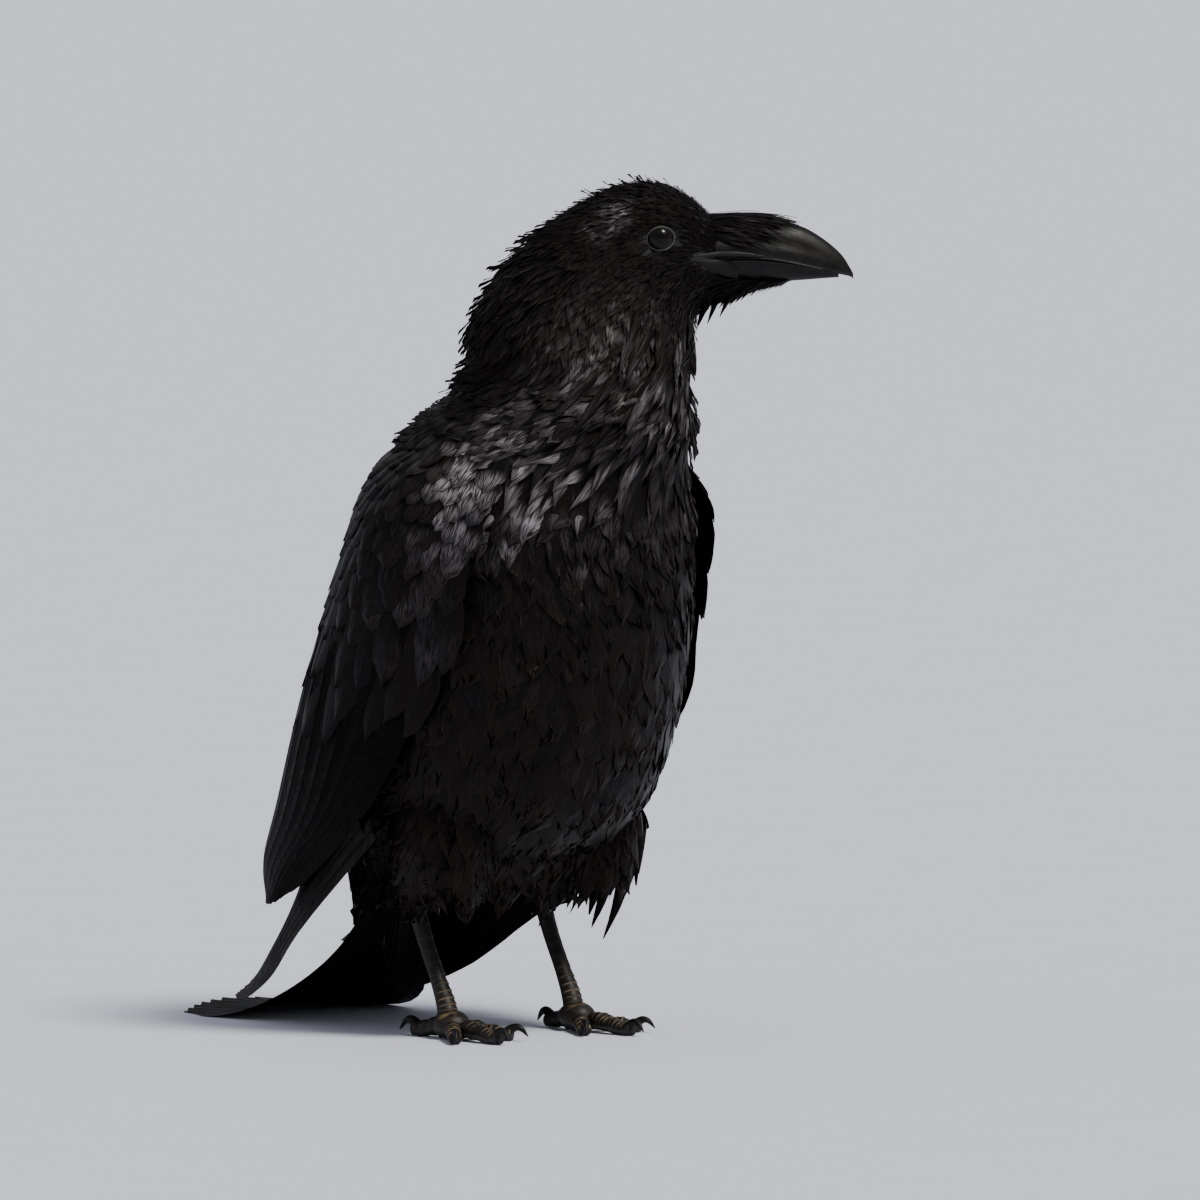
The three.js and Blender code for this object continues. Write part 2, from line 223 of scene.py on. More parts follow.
@dataclass
class Builder:
    """Makes objects from arrays and hangs them on the frame's body."""

    place: Place
    body: str = "root"

    def piece(
        self,
        name: str,
        points: Array,
        faces: Array,
        material: Material,
        slot: str,
        attributes: dict[str, Array],
        bake_uv: Array | None = None,
    ) -> Object:
        """Makes one mesh object of quads.

        Args:
            name: The piece's name.
            points: Points in design millimetres.
            faces: Integer array of quads.
            material: Its finish.
            slot: The record's material slot; not used.
            attributes: Point attributes by name, of 1 or 3 values each.
            bake_uv: Two values per point for the bake map.

        Returns:
            The object, riding on the frame.
        """
        points = self.place.metres(points).reshape(-1, 3)
        mesh = bpy.data.meshes.new(name)
        mesh.vertices.add(len(points))
        mesh.vertices.foreach_set("co", points.astype(np.float32).ravel())
        mesh.loops.add(faces.size)
        mesh.loops.foreach_set("vertex_index", faces.astype(np.int32).ravel())
        mesh.polygons.add(len(faces))
        mesh.polygons.foreach_set("loop_start", np.arange(0, faces.size, faces.shape[1], dtype=np.int32))
        mesh.polygons.foreach_set("use_smooth", np.ones(len(faces), bool))
        mesh.update(calc_edges=True)
        for key, values in attributes.items():
            values = values.reshape(len(points), -1).astype(np.float32)
            kind, slot_name = ("FLOAT_VECTOR", "vector") if values.shape[1] == 3 else ("FLOAT", "value")
            layer = mesh.attributes.new(key, kind, "POINT")
            layer.data.foreach_set(slot_name, values.ravel())
        if bake_uv is not None:
            layer = mesh.uv_layers.new(name=BAKE_UV)
            layer.uv.foreach_set("vector", bake_uv[faces.ravel()].astype(np.float32).ravel())
        mesh.validate()
        mesh.materials.append(material)
        obj = bpy.data.objects.new(name, mesh)
        bpy.context.scene.collection.objects.link(obj)
        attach(obj, self.body)
        log.info("%s: %d faces", name, len(faces))
        return obj

    def tube(self, name: str, points: Array, material: Material, slot: str,
             lane: Array) -> Object:
        """Makes a tube of rings of points, closed at its ends or poles.

        Args:
            name: The piece's name.
            points: Rings by points by 3, in design millimetres.
            material: Its finish.
            slot: The record's material slot.
            lane: Three values per point for the finish.

        Returns:
            The object, with its faces outward.
        """
        obj = self.piece(name, points, grid_faces(*points.shape[:2], wrap=True), material, slot,
                         {"lane": lane})
        self.close(obj)
        return obj

    @staticmethod
    def close(obj: Object) -> None:
        """Merges the points of poles, fills open end rings and turns faces outward.

        Args:
            obj: The object, changed in place.
        """
        work = bmesh.new()
        work.from_mesh(obj.data)
        bmesh.ops.remove_doubles(work, verts=work.verts, dist=1e-7)
        rims = [edge for edge in work.edges if edge.is_boundary]
        for face in bmesh.ops.holes_fill(work, edges=rims, sides=0)["faces"]:
            face.smooth = False
        bmesh.ops.recalc_face_normals(work, faces=work.faces)
        work.to_mesh(obj.data)
        work.free()


# --------------------------------------------------------------------- finishes

Socket = bpy.types.NodeSocket


class Finish:
    """A new material with short ways to add the nodes that the finishes share."""

    def __init__(self, name: str) -> None:
        """Starts the material with no nodes.

        Args:
            name: The material's name.
        """
        self.material = bpy.data.materials.new(name)
        self.material.use_nodes = True
        self.material.node_tree.nodes.clear()

    @staticmethod
    def add_to(tree: bpy.types.NodeTree, kind: str, inputs: dict, **settings) -> bpy.types.Node:
        """Adds one node to a tree.

        Args:
            tree: The node tree.
            kind: The node's type name.
            inputs: Socket name or index to a value, or to an output socket to link.
            **settings: Properties of the node.

        Returns:
            The new node.
        """
        node = tree.nodes.new(kind)
        for name, value in settings.items():
            setattr(node, name, value)
        for name, value in inputs.items():
            if isinstance(value, Socket):
                tree.links.new(value, node.inputs[name])
            else:
                node.inputs[name].default_value = value
        return node

    def add(self, kind: str, inputs: dict | None = None, **settings) -> bpy.types.Node:
        """Adds one node to this material."""
        return self.add_to(self.material.node_tree, kind, inputs or {}, **settings)

    def read(self, name: str) -> Socket:
        """The value of a point attribute."""
        return self.add("ShaderNodeAttribute", attribute_name=name).outputs["Fac"]

    def lane(self) -> list[Socket]:
        """The attribute lane and its three values."""
        whole = self.add("ShaderNodeAttribute", attribute_name="lane").outputs["Vector"]
        return [whole, *self.add("ShaderNodeSeparateXYZ", {0: whole}).outputs[:3]]

    def place(self) -> Socket:
        """Object coordinates, in metres."""
        return self.add("ShaderNodeTexCoord").outputs["Object"]

    def sum(self, kind: str, first: Socket, second: Socket | float = 0.0, clamp: bool = False) -> Socket:
        """A math node of the given kind on one or two values."""
        return self.add("ShaderNodeMath", {0: first, 1: second}, operation=kind, use_clamp=clamp).outputs[0]

    def noise(self, where: Socket, scale: float, detail: float, roughness: float = 0.5) -> Socket:
        """A noise of the given fineness, from 0 to 1 about 0.5."""
        return self.add("ShaderNodeTexNoise", {
            "Vector": where, "Scale": scale, "Detail": detail, "Roughness": roughness}).outputs["Fac"]

    def span(self, value: Socket, source: tuple[float, float], target: tuple[float, float] = (0.0, 1.0),
             eased: bool = False) -> Socket:
        """Maps a range of values to another and holds them to its ends.

        Args:
            value: The value.
            source: Its range.
            target: The new range.
            eased: Whether both ends are eased, as a smooth step.

        Returns:
            The mapped value.
        """
        return self.add("ShaderNodeMapRange", {
            "Value": value, "From Min": source[0], "From Max": source[1], "To Min": target[0],
            "To Max": target[1]}, interpolation_type="SMOOTHSTEP" if eased else "LINEAR").outputs[0]

    def blend(self, share: Socket, low: Socket | str, high: Socket | str) -> Socket:
        """Blends two colours, each a socket or a hex colour."""
        low, high = (linear(c) if isinstance(c, str) else c for c in (low, high))
        return self.add("ShaderNodeMix", {0: share, 6: low, 7: high}, data_type="RGBA").outputs[2]

    def ramp(self, share: Socket, *stops: tuple[float, str]) -> Socket:
        """A colour ramp from positions and hex colours.

        Args:
            share: Place on the ramp.
            *stops: Positions and hex colours, in order.

        Returns:
            The colour.
        """
        node = self.add("ShaderNodeValToRGB", {"Fac": share})
        band = node.color_ramp
        while len(band.elements) < len(stops):
            band.elements.new(0.5)
        for element, (where, colour) in zip(band.elements, stops):
            element.position = where
            element.color = linear(colour)
        return node.outputs["Color"]

    def bump(self, height: Socket, strength: float, relief_mm: float) -> Socket:
        """Normals bent by a height of `relief_mm` millimetres."""
        return self.add("ShaderNodeBump", {
            "Height": height, "Strength": strength, "Distance": relief_mm / 1000}).outputs[0]

    def done(self, colour: Socket, roughness: Socket | float, inputs: dict) -> Material:
        """Ends the material in a principled shader.

        Args:
            colour: Base colour.
            roughness: Roughness.
            inputs: The shader's other inputs.

        Returns:
            The material.
        """
        shader = self.add("ShaderNodeBsdfPrincipled", {
            "Base Color": colour, "Roughness": roughness, **inputs})
        self.add("ShaderNodeOutputMaterial", {"Surface": shader.outputs[0]})
        return self.material


@dataclass(frozen=True)
class FeatherKeratin:
    """Melanin-black feather keratin, barbed vane on a shaft.

    The silky gloss of overlapping barbs is a painted highlight: streaks of the
    lit colour are painted into the base colour where the painted sheen share is
    high. The keratin is neutral where fresh; worn fringes bleach to brown. Real
    barbs are 0.1 to 0.2 mm apart: `strands` of them, in bundles, are drawn across
    half a vane, and each bundle changes about every `barb_mm` along it, so that
    they show.
    """

    name: str = "black_feather"
    fresh: str = "0a090a"
    worn: str = "1d1612"
    # painted highlight: the grey that streaks take where the key light would catch the barbs
    lit: str = "a19a9e"
    tint: str = "d4c9c4"
    roughness: float = 0.4
    level: float = 0.08
    barb_mm: float = 7.0
    strands: float = 9.0
    bump: float = 0.6

    def make(self) -> Material:
        """Builds the material; it reads the attributes lane, phase and wear, and the painted sheen
        attribute, which paints highlight streaks of the lit colour into the base colour.

        Returns:
            The material.
        """
        made = Finish(self.name)
        _, length, y, seed = made.lane()
        # barbs: noise drawn out along the vane and fine across it
        spot = made.add("ShaderNodeCombineXYZ", {
            "X": made.sum("MULTIPLY", made.read("phase"), 1.0 / self.barb_mm),
            "Y": made.sum("MULTIPLY", y, self.strands), "Z": seed}).outputs[0]
        barbs = made.noise(spot, 1.0, 1.5, 0.6)
        coarse = made.noise(spot, 0.4, 2.0)
        # shaft: a narrow ridge where the share across is near nothing
        across = made.sum("ABSOLUTE", y)
        shaft = made.span(across, (0.0, 0.07), (1.0, 0.0), eased=True)
        # fringe: the last part of the vane, most where it is worn
        edge = made.sum("MAXIMUM", length, across)
        fringe = made.span(edge, (0.72, 1.0), eased=True)
        tired = made.sum("ADD", made.sum("MULTIPLY", fringe, coarse), 0.35)
        share = made.sum("MULTIPLY", tired, made.read("wear"), clamp=True)
        tone = made.blend(share, self.fresh, self.worn)
        lines = made.span(barbs, (0.3, 0.7), (0.72, 1.35))
        dark = made.add("ShaderNodeVectorMath", {0: tone, "Scale": lines}, operation="SCALE").outputs[0]
        # painted highlight: where the bare part of the vane arches into the light, streaks of
        # the lit colour are painted, broken by its barbs
        bare = made.span(length, (0.4, 0.78), eased=True)
        crest = made.span(edge, (0.5, 1.0), (1.0, 0.3), eased=True)
        strands = made.span(barbs, (0.34, 0.66), (0.05, 1.0), eased=True)
        painted_streak = made.sum("MULTIPLY", strands, made.sum("MULTIPLY", bare, crest))
        painted_shine = made.sum("MULTIPLY", painted_streak, made.read("painted_sheen"), clamp=True)
        rough = made.span(coarse, (0.3, 0.7), (self.roughness - 0.08, self.roughness + 0.12))
        # the base colour carries the painted highlight streaks in the lit colour
        return made.done(made.blend(painted_shine, dark, self.lit), rough, {
            "Normal": made.bump(made.sum("ADD", barbs, shaft), self.bump, 0.3), "IOR": 1.55,
            "Specular Tint": linear(self.tint), "Specular IOR Level": self.level})


@dataclass(frozen=True)
class BareSkin:
    """Dark down-covered skin under the coat, matt and near black."""

    name: str = "skin_under_coat"
    deep: str = "060607"
    colour: str = "0a0a0c"
    grain_mm: float = 1.2

    def make(self) -> Material:
        """Builds the material on Object coordinates.

        Returns:
            The material.
        """
        made = Finish(self.name)
        grain = made.noise(made.place(), 1000 / self.grain_mm, 3.0)
        return made.done(made.ramp(grain, (0.35, self.deep), (0.7, self.colour)), 0.8, {
            "Normal": made.bump(grain, 0.5, 0.4), "IOR": 1.5})


@dataclass(frozen=True)
class Horn:
    """Black keratin horn of bill or claw, worn to a satin with fine growth lines."""

    name: str
    dark: str = "090807"
    worn: str = "262422"
    roughness: float = 0.4
    cloud_mm: float = 11.111
    bump: float = 0.12

    def make(self) -> Material:
        """Builds the material; it reads the attribute lane: share along, round, edge.

        Returns:
            The material.
        """
        made = Finish(self.name)
        whole, _, _, edge = made.lane()
        cloud = made.noise(made.place(), 1000 / self.cloud_mm, 5.0, 0.6)
        # growth lines run along the horn: noise squeezed along its length
        squeezed = made.add("ShaderNodeVectorMath", {0: whole, 1: (3.0, 26.0, 4.0)}, operation="MULTIPLY")
        lines = made.noise(squeezed.outputs[0], 1.6, 4.0, 0.65)
        rubbed = made.span(made.sum("MULTIPLY", cloud, lines), (0.2, 0.42), (0.0, 0.55))
        colour = made.blend(made.sum("ADD", rubbed, edge, clamp=True), self.dark, self.worn)
        rough = made.span(cloud, (0.3, 0.7), (self.roughness - 0.06, self.roughness + 0.14))
        return made.done(colour, rough, {
            "Normal": made.bump(lines, self.bump, 0.6), "IOR": 1.54, "Specular IOR Level": 0.15})


@dataclass(frozen=True)
class LegScales:
    """Horny scutes of a crow's leg: black-brown plates with pale dusty joints."""

    name: str = "leg_scutes"
    plate: str = "0d0b0a"
    rubbed: str = "27211c"
    joint: str = "7c6a4f"
    grain_mm: float = 2.381
    dust_mm: float = 9.091

    def make(self) -> Material:
        """Builds the material; it reads the attribute joint: 1 in the grooves.

        Returns:
            The material.
        """
        made = Finish(self.name)
        place = made.place()
        grain = made.noise(place, 1000 / self.grain_mm, 5.0, 0.65)
        dust = made.sum("MULTIPLY", made.read("joint"), made.noise(place, 1000 / self.dust_mm, 2.0))
        share = made.span(dust, (0.18, 0.55), (0.0, 0.9), eased=True)
        plate = made.ramp(grain, (0.38, self.plate), (0.72, self.rubbed))
        return made.done(made.blend(share, plate, self.joint), 0.5, {
            "Normal": made.bump(grain, 0.35, 0.4), "IOR": 1.54, "Specular IOR Level": 0.25})


@dataclass(frozen=True)
class WetEye:
    """Near-black brown iris and pupil under a wet cornea; the coat is the tear film."""

    name: str = "wet_eye"
    iris: str = "0e0906"
    rim: str = "090604"
    sclera: str = "040303"
    pupil: str = "030303"

    def make(self) -> Material:
        """Builds the material; it reads the attribute lane: share from the pupil out.

        Returns:
            The material.
        """
        made = Finish(self.name)
        _, out, _, _ = made.lane()
        colour = made.ramp(out, (0.24, self.pupil), (0.3, self.iris), (0.62, self.rim), (0.7, self.sclera))
        return made.done(colour, 0.3, {
            "IOR": 1.38, "Specular IOR Level": 0.1, "Coat Weight": 0.36, "Coat Roughness": 0.03,
            "Coat IOR": 1.38})


@dataclass(frozen=True)
class LidSkin:
    """Bare beaded rim of the eyelids, grey and leathery."""

    name: str = "lid_rim"
    groove: str = "141415"
    bead: str = "454343"

    def make(self) -> Material:
        """Builds the material; it reads the attribute lane: height of the beads.

        Returns:
            The material.
        """
        made = Finish(self.name)
        _, height, _, _ = made.lane()
        return made.done(made.ramp(height, (0.25, self.groove), (0.8, self.bead)), 0.52, {"IOR": 1.45})


# --------------------------------------------------------------------- surfaces


HEAD = (HEAD_YAW, HEAD_FOOT[0], HEAD_FOOT[1])


@dataclass
class Surface:
    """A surface of two parameters a (along the lie of the coat) and b (across)."""

    outward: float = 1.0

    def point(self, a: Array, b: Array) -> Array:
        """Points of the surface, in millimetres."""
        raise NotImplementedError

    def tangents(self, a: Array, b: Array) -> tuple[Array, Array, Array]:
        """Slopes along a and b by central differences, and the outward normal.

        Args:
            a: Stations along.
            b: Places across.

        Returns:
            Both slopes in millimetres per step, and the normal.
        """
        step = 0.02
        pa = (self.point(a + step, b) - self.point(a - step, b)) / (2 * step)
        pb = (self.point(a, b + step) - self.point(a, b - step)) / (2 * step)
        return pa, pb, unit(np.cross(pa, pb)) * self.outward

    @staticmethod
    def rates(pa: Array, pb: Array, d: Array) -> tuple[Array, Array]:
        """Parameter steps that move one millimetre along d, by least squares.

        Args:
            pa: Slopes along a.
            pb: Slopes along b.
            d: Directions of length 1.

        Returns:
            Steps of a and b per millimetre.
        """
        aa, bb, ab = (pa * pa).sum(-1), (pb * pb).sum(-1), (pa * pb).sum(-1)
        ra, rb = (pa * d).sum(-1), (pb * d).sum(-1)
        scale = 1 / np.maximum(aa * bb - ab * ab, 1e-6)
        return (bb * ra - ab * rb) * scale, (aa * rb - ab * ra) * scale


@dataclass
class BodyForm(Surface):
    """Head, neck and trunk as sections from the bill's root to the vent.

    A section is an ellipse of slightly full corners: centre + arm c(cos b) +
    left side c(sin b), where c(v) = sign(v)|v|^corner, b = 0 is the breast and
    b = pi the back.
    """

    outward: float = 1.0
    sections: dict[str, tuple[float, ...]] = field(default_factory=lambda: {
        # yaw, x, y, front u, front z, back u, back z, half width
        "forehead": (*HEAD, 99, 357, 93.5, 395, 13.5),
        "brow": (*HEAD, 92, 352, 83, 404, 19),
        "eye": (*HEAD, 89, 349, 69, 409.5, 22.5),
        "crown": (*HEAD, 87, 346, 49, 408.5, 26),
        "occiput": (*HEAD, 86, 342, 25, 397, 30.5),
        "nape": (*HEAD, 85.5, 337, 3, 380, 36),
        "hackle": (*HEAD, 84.5, 330, -13, 360, 41),
        "neck": (50, -16, -20.5, 84.5, 320, -22.5, 340, 46),
        "collar": (42, 8.5, -39, 55, 309, -54, 324, 51),
        "scruff": (24, 6, -38, 58, 292, -62, 308, 58),
        "shoulder": (8, 2, -28, 63, 268, -74, 292, 67),
        "breast": (0, 0, -13, 75, 236, -72, 266, 77),
        "chest": (0, 0, -4, 84, 194, -76, 232, 78),
        "belly": (0, 0, 10, 87, 146, -78, 190, 78.5),
        "flank": (0, 0, 28, 83, 105, -74, 150, 74),
        "rump": (0, 0, 48, 60, 81, -61, 116, 62),
        "vent": (0, 0, 70, 28, 71, -38, 90, 38),
        "coverts": (0, 0, 88, 6, 57, -19, 68, 24),
    })
    corner: float = 0.93

    @property
    def last(self) -> int:
        """Number of the last section."""
        return len(self.sections) - 1

    def point(self, a: Array, b: Array, inset: Array | float = 0.0) -> Array:
        """Points at section a and angle b, `inset` millimetres inside.

        Args:
            a: Sections, counted from the first.
            b: Angles from the breast round by the bird's left.
            inset: Depth inside.

        Returns:
            Points in millimetres.
        """
        a, b = np.broadcast_arrays(np.asarray(a, float), np.asarray(b, float))
        row = along(np.array(list(self.sections.values())), a)
        yaw, x, y, fu, fz, bu, bz, side = np.moveaxis(row, -1, 0)
        yaw = np.radians(yaw)
        nothing = np.zeros_like(yaw)
        ahead = np.stack([np.sin(yaw), -np.cos(yaw), nothing], -1)
        left = np.stack([np.cos(yaw), np.sin(yaw), nothing], -1)
        base = np.stack([x, y, nothing], -1)
        front = base + ahead * fu[..., None] + UP * fz[..., None]
        back = base + ahead * bu[..., None] + UP * bz[..., None]
        arm = (front - back) / 2
        reach = np.linalg.norm(arm, axis=-1)
        arm = arm * (np.maximum(reach - inset, 0.5) / reach)[..., None]
        c, d = (np.sign(v) * np.abs(v) ** self.corner for v in (np.cos(b), np.sin(b)))
        wide = np.maximum(side - inset, 0.5)
        return (front + back) / 2 + arm * c[..., None] + left * (wide * d)[..., None]


@dataclass
class RibForm(Surface):
    """A wing shell through ribs of four points, front edge to back edge."""

    ribs: Array = field(default_factory=lambda: np.zeros((2, 4, 3)))
    side: Side = Side.RIGHT

    def point(self, a: Array, b: Array) -> Array:
        """Points at rib a and share across b (0 front edge to 3 back edge).

        Args:
            a: Ribs.
            b: Shares across.

        Returns:
            Points in millimetres.
        """
        a, b = np.broadcast_arrays(np.asarray(a, float), np.asarray(b, float))
        rib = along(self.ribs.reshape(len(self.ribs), 12), a).reshape(*a.shape, 4, 3)
        inner = np.clip(b, 0, 3)
        i = np.minimum(np.floor(inner).astype(int), 2)
        t = (inner - i)[..., None]
        p, q, r, w = (np.take_along_axis(rib, np.clip(i + k, 0, 3)[..., None, None], -2)[..., 0, :]
                      for k in (-1, 0, 1, 2))
        sa = np.where((i > 0)[..., None], (r - p) / 2, r - q)
        sb = np.where((i < 2)[..., None], (w - q) / 2, r - q)
        out = q + t * (sa + t * (3 * (r - q) - 2 * sa - sb + t * (sa + sb - 2 * (r - q))))
        over = (b - inner)[..., None]
        out = out + over * np.where(over > 0, rib[..., 3, :] - rib[..., 2, :],
                                    rib[..., 1, :] - rib[..., 0, :])
        return out * np.array([-float(self.side.value), 1.0, 1.0])


@dataclass
class TailForm(Surface):
    """The tail's fan: a centre line in the Y-Z plane and a half width along it."""

    outward: float = -1.0
    line: Array = field(default_factory=lambda: np.array([
        # y, z, half width
        (95.6, 60.8, 20), (107, 37, 33), (126, 19, 44), (153, 7, 52), (190, 1.4, 58),
        (233, 1, 61)], float))
    dish: float = 3.0

    def point(self, a: Array, b: Array) -> Array:
        """Points at station a and share across b from -1 to 1.

        Args:
            a: Stations along.
            b: Places across.

        Returns:
            Points in millimetres.
        """
        a, b = np.broadcast_arrays(np.asarray(a, float), np.asarray(b, float))
        row = along(self.line, a)
        drop = self.dish * np.sin(np.pi * np.clip(a / (len(self.line) - 1), 0, 1)) * b * b
        return np.stack([b * row[..., 2], row[..., 0], row[..., 1] - drop], -1)


@dataclass
class TubeForm(Surface):
    """A tube through rows of x, y, z and radius; b is the angle round it."""

    outward: float = -1.0
    rows: Array = field(default_factory=lambda: np.zeros((2, 4)))
    zero: tuple[float, float, float] = (1.0, 0.0, 0.0)

    def point(self, a: Array, b: Array) -> Array:
        """Points at row a and angle b; b = 0 lies towards `zero`.

        Args:
            a: Rows.
            b: Angles.

        Returns:
            Points in millimetres.
        """
        a, b = np.broadcast_arrays(np.asarray(a, float), np.asarray(b, float))
        row = along(self.rows, a)
        run = unit(along(self.rows, a + 0.05)[..., :3] - along(self.rows, a - 0.05)[..., :3])
        zero = np.array(self.zero)
        first = unit(zero - run * (run * zero).sum(-1, keepdims=True))
        second = np.cross(run, first)
        turn = first * np.cos(b)[..., None] + second * np.sin(b)[..., None]
        return row[..., :3] + turn * row[..., 3:4]

    def grid(self, rings: int, count: int) -> Array:
        """Even rings of `count` points from the first row to the last."""
        return self.point(stations(len(self.rows) - 1, rings), around(count))

    def lane(self, rings: int, count: int, edge: Array | float = 0.0) -> Array:
        """Share along and round for each point of `grid`, with a third value."""
        return packed(stations(1, rings), around(count) / TURN, edge)


# ------------------------------------------------------------------------ vanes


class Tip(Enum):
    """How a vane ends: the powers m and n of its cap (1 - x^m)^n.

    x is the share of the way from the vane's widest place to its end.
    """

    ROUND = (2.0, 0.5)
    OVAL = (2.0, 0.75)
    POINTED = (1.3, 1.15)


@dataclass(frozen=True)
class Vane:
    """The shape of a feather's vane; shares are of its half width.

    Attributes:
        tip: Shape of the end.
        widest: Share along where the vane is widest.
        root: Share of the width at the root.
        camber: Drop of the edges.
        roll: Chance turn about the shaft.
        ragged: Chance change of the outline.
        lean: How much narrower the +y vane is than the -y vane.
        jag: Depth of notches in the outline towards the tip.
        fray: Share of the length by which columns of the tip fall short.
    """

    tip: Tip = Tip.ROUND
    widest: float = 0.5
    root: float = 0.3
    camber: float = 0.12
    roll: float = 0.06
    ragged: float = 0.1
    lean: float = 0.0
    jag: float = 0.0
    fray: float = 0.0

    def outline(self, q: Array) -> Array:
        """Share of the half width at share q along.

        Args:
            q: Shares along.

        Returns:
            Shares of the half width.
        """
        past = np.clip((q - self.widest) / (1 - self.widest), 0, 1)
        inner, outer = self.tip.value
        cap = np.maximum(1 - past**inner, 0) ** outer
        grow = self.root + (1 - self.root) * np.sin(np.clip(q / self.widest, 0, 1) * np.pi / 2)
        return np.maximum(grow * cap, 0.03)


@dataclass
class Vanes:
    """A batch of feathers laid on a surface, each a curved grid of quads.

    Row i of column j sits at the surface point of the path, moved across by
    y_j times the half width, then along the normal by lift - camber y^2 + roll y.
    A step of a path is held to `stride` along and across the surface, and a
    vane's edge to `sway` along it.
    """

    surface: Surface
    steps: int = 8
    across: int = 4
    shafted: bool = False
    stride: tuple[float, float] = (0.9, 0.5)
    sway: float = 0.8
    shaft_mm: float = 0.35

    def columns(self) -> Array:
        """Shares across from -1 to 1; a shafted vane adds two by its shaft."""
        if self.shafted:
            return np.array([-1, -0.72, -0.4, -0.06, 0, 0.06, 0.4, 0.72, 1.0])
        return np.linspace(-1, 1, self.across + 1)

    def flow(self, a0: Array, b0: Array, length: Array, turn: Array) -> tuple[Array, Array]:
        """Paths that start at a0, b0 and follow the surface down its a direction.

        Each step moves length/steps along the lie turned by `turn` radians.

        Args:
            a0: Root stations.
            b0: Root places across.
            length: Lengths in millimetres.
            turn: Angles off the lie of the coat.

        Returns:
            Stations and places across, one row per feather.
        """
        a, b = [a0], [b0]
        step = length / self.steps
        for _ in range(self.steps):
            pa, pb, normal = self.surface.tangents(a[-1], b[-1])
            ahead = unit(pa)
            side = np.cross(normal, ahead)
            d = ahead * np.cos(turn)[:, None] + side * np.sin(turn)[:, None]
            ra, rb = self.surface.rates(pa, pb, d)
            a.append(a[-1] + np.clip(ra * step, -self.stride[0], self.stride[0]))
            b.append(b[-1] + np.clip(rb * step, -self.stride[1], self.stride[1]))
        return np.stack(a, 1), np.stack(b, 1)

    def lay(self, a: Array, b: Array, half: Array, lift: Array, rng: Chance, vane: Vane,
            wear: Array | float = 0.3, painted_sheen: Array | float = 0.0) -> dict[str, Array]:
        """Builds the vanes' points and attributes along the given paths.

        Args:
            a: Path stations, feathers by steps + 1.
            b: Path places across.
            half: Half widths in millimetres, one per feather.
            lift: Heights above the surface along each path.
            rng: Seeded source of chance.
            vane: The vanes' shape.
            wear: Bleaching from 0 to 1.
            painted_sheen: How much of the painted highlight colour the barbs get, from 0 to 1.

        Returns:
            points, lane, phase, wear and painted sheen share of the batch.
        """
        count = a.shape[0]
        q = shares(self.steps)[..., None]
        y = self.columns()[None, None, :]
        rough = 1 + vane.ragged * rng.normal(size=(count, self.steps + 1, 2))
        rough = rough * (1 - vane.jag * rng.random((count, self.steps + 1, 2)) * smooth((q - 0.45) / 0.5))
        edge = rough[..., :1] * (y < 0) + rough[..., 1:] * (y > 0) + (y == 0)
        offset = y * half[:, None, None] * vane.outline(q) * edge * (1 - vane.lean * (y > 0))
        pa, pb, normal = self.surface.tangents(a, b)
        line = self.surface.point(a, b)
        ahead = unit(np.gradient(line, axis=1))
        ra, rb = self.surface.rates(pa, pb, np.cross(normal, ahead))
        aa = a[..., None] + np.clip(ra[..., None] * offset, -self.sway, self.sway)
        base = self.surface.point(aa, b[..., None] + rb[..., None] * offset)
        twist = rng.normal(0, vane.roll, (count, 1, 1))
        height = lift[..., None] - vane.camber * half[:, None, None] * y**2 + twist * offset
        if self.shafted:
            height = height + self.shaft_mm * (y == 0) * (1 - 0.7 * q)
        length = np.linalg.norm(np.diff(line, axis=1), axis=-1).sum(1)[:, None, None]
        short = vane.fray * rng.random((count, 1, y.size)) * length
        points = base + normal[:, :, None] * height[..., None] - ahead[:, :, None] * (short * q**3)[..., None]
        seed = rng.random(count)[:, None, None] * 50
        # phase: millimetres along the barbs, which slant back from the shaft
        phase = q * length - np.abs(offset) * 1.1
        worn, painted_shine = (np.broadcast_to(np.asarray(v, float).reshape(-1, 1, 1), phase.shape)
                       for v in (wear, painted_sheen))
        return {"points": points, "lane": packed(q, y, seed), "phase": phase, "wear": worn, "painted_sheen": painted_shine}


@dataclass
class Coat:
    """Gathers batches of vanes into pieces with the bake map."""

    builder: Builder

    def piece(self, name: str, laid: list[Laid], material: Material,
              slot: str = "plumage") -> Object:
        """Joins batches into one object.

        The bake map puts each vane in a patch 0.003 across at its root's share
        of the surface, (root) + 0.003 (y/2, q - 1/2).

        Args:
            name: The piece's name.
            laid: Results of Vanes.lay, each with its root places from 0 to 1.
            material: The finish.
            slot: The record's slot.

        Returns:
            The object.
        """
        faces, places = [], []
        start = 0
        for batch, root in laid:
            count, rows, columns, _ = batch["points"].shape
            faces.append(grid_faces(rows, columns, count)[:, ::-1] + start)
            start += count * rows * columns
            patch = np.stack([batch["lane"][..., 1] / 2, batch["lane"][..., 0] - 0.5], -1)
            root = np.clip(root, 0.004, 0.996)[:, None, None, :]
            places.append((root + PATCH * patch).reshape(-1, 2))
        values = {key: np.concatenate([batch[key].reshape(-1, *batch[key].shape[3:]) for batch, _ in laid])
                  for key in laid[0][0]}
        return self.builder.piece(name, values.pop("points"), np.concatenate(faces), material, slot,
                                  values, np.concatenate(places))


# ----------------------------------------------------------------- contour coat


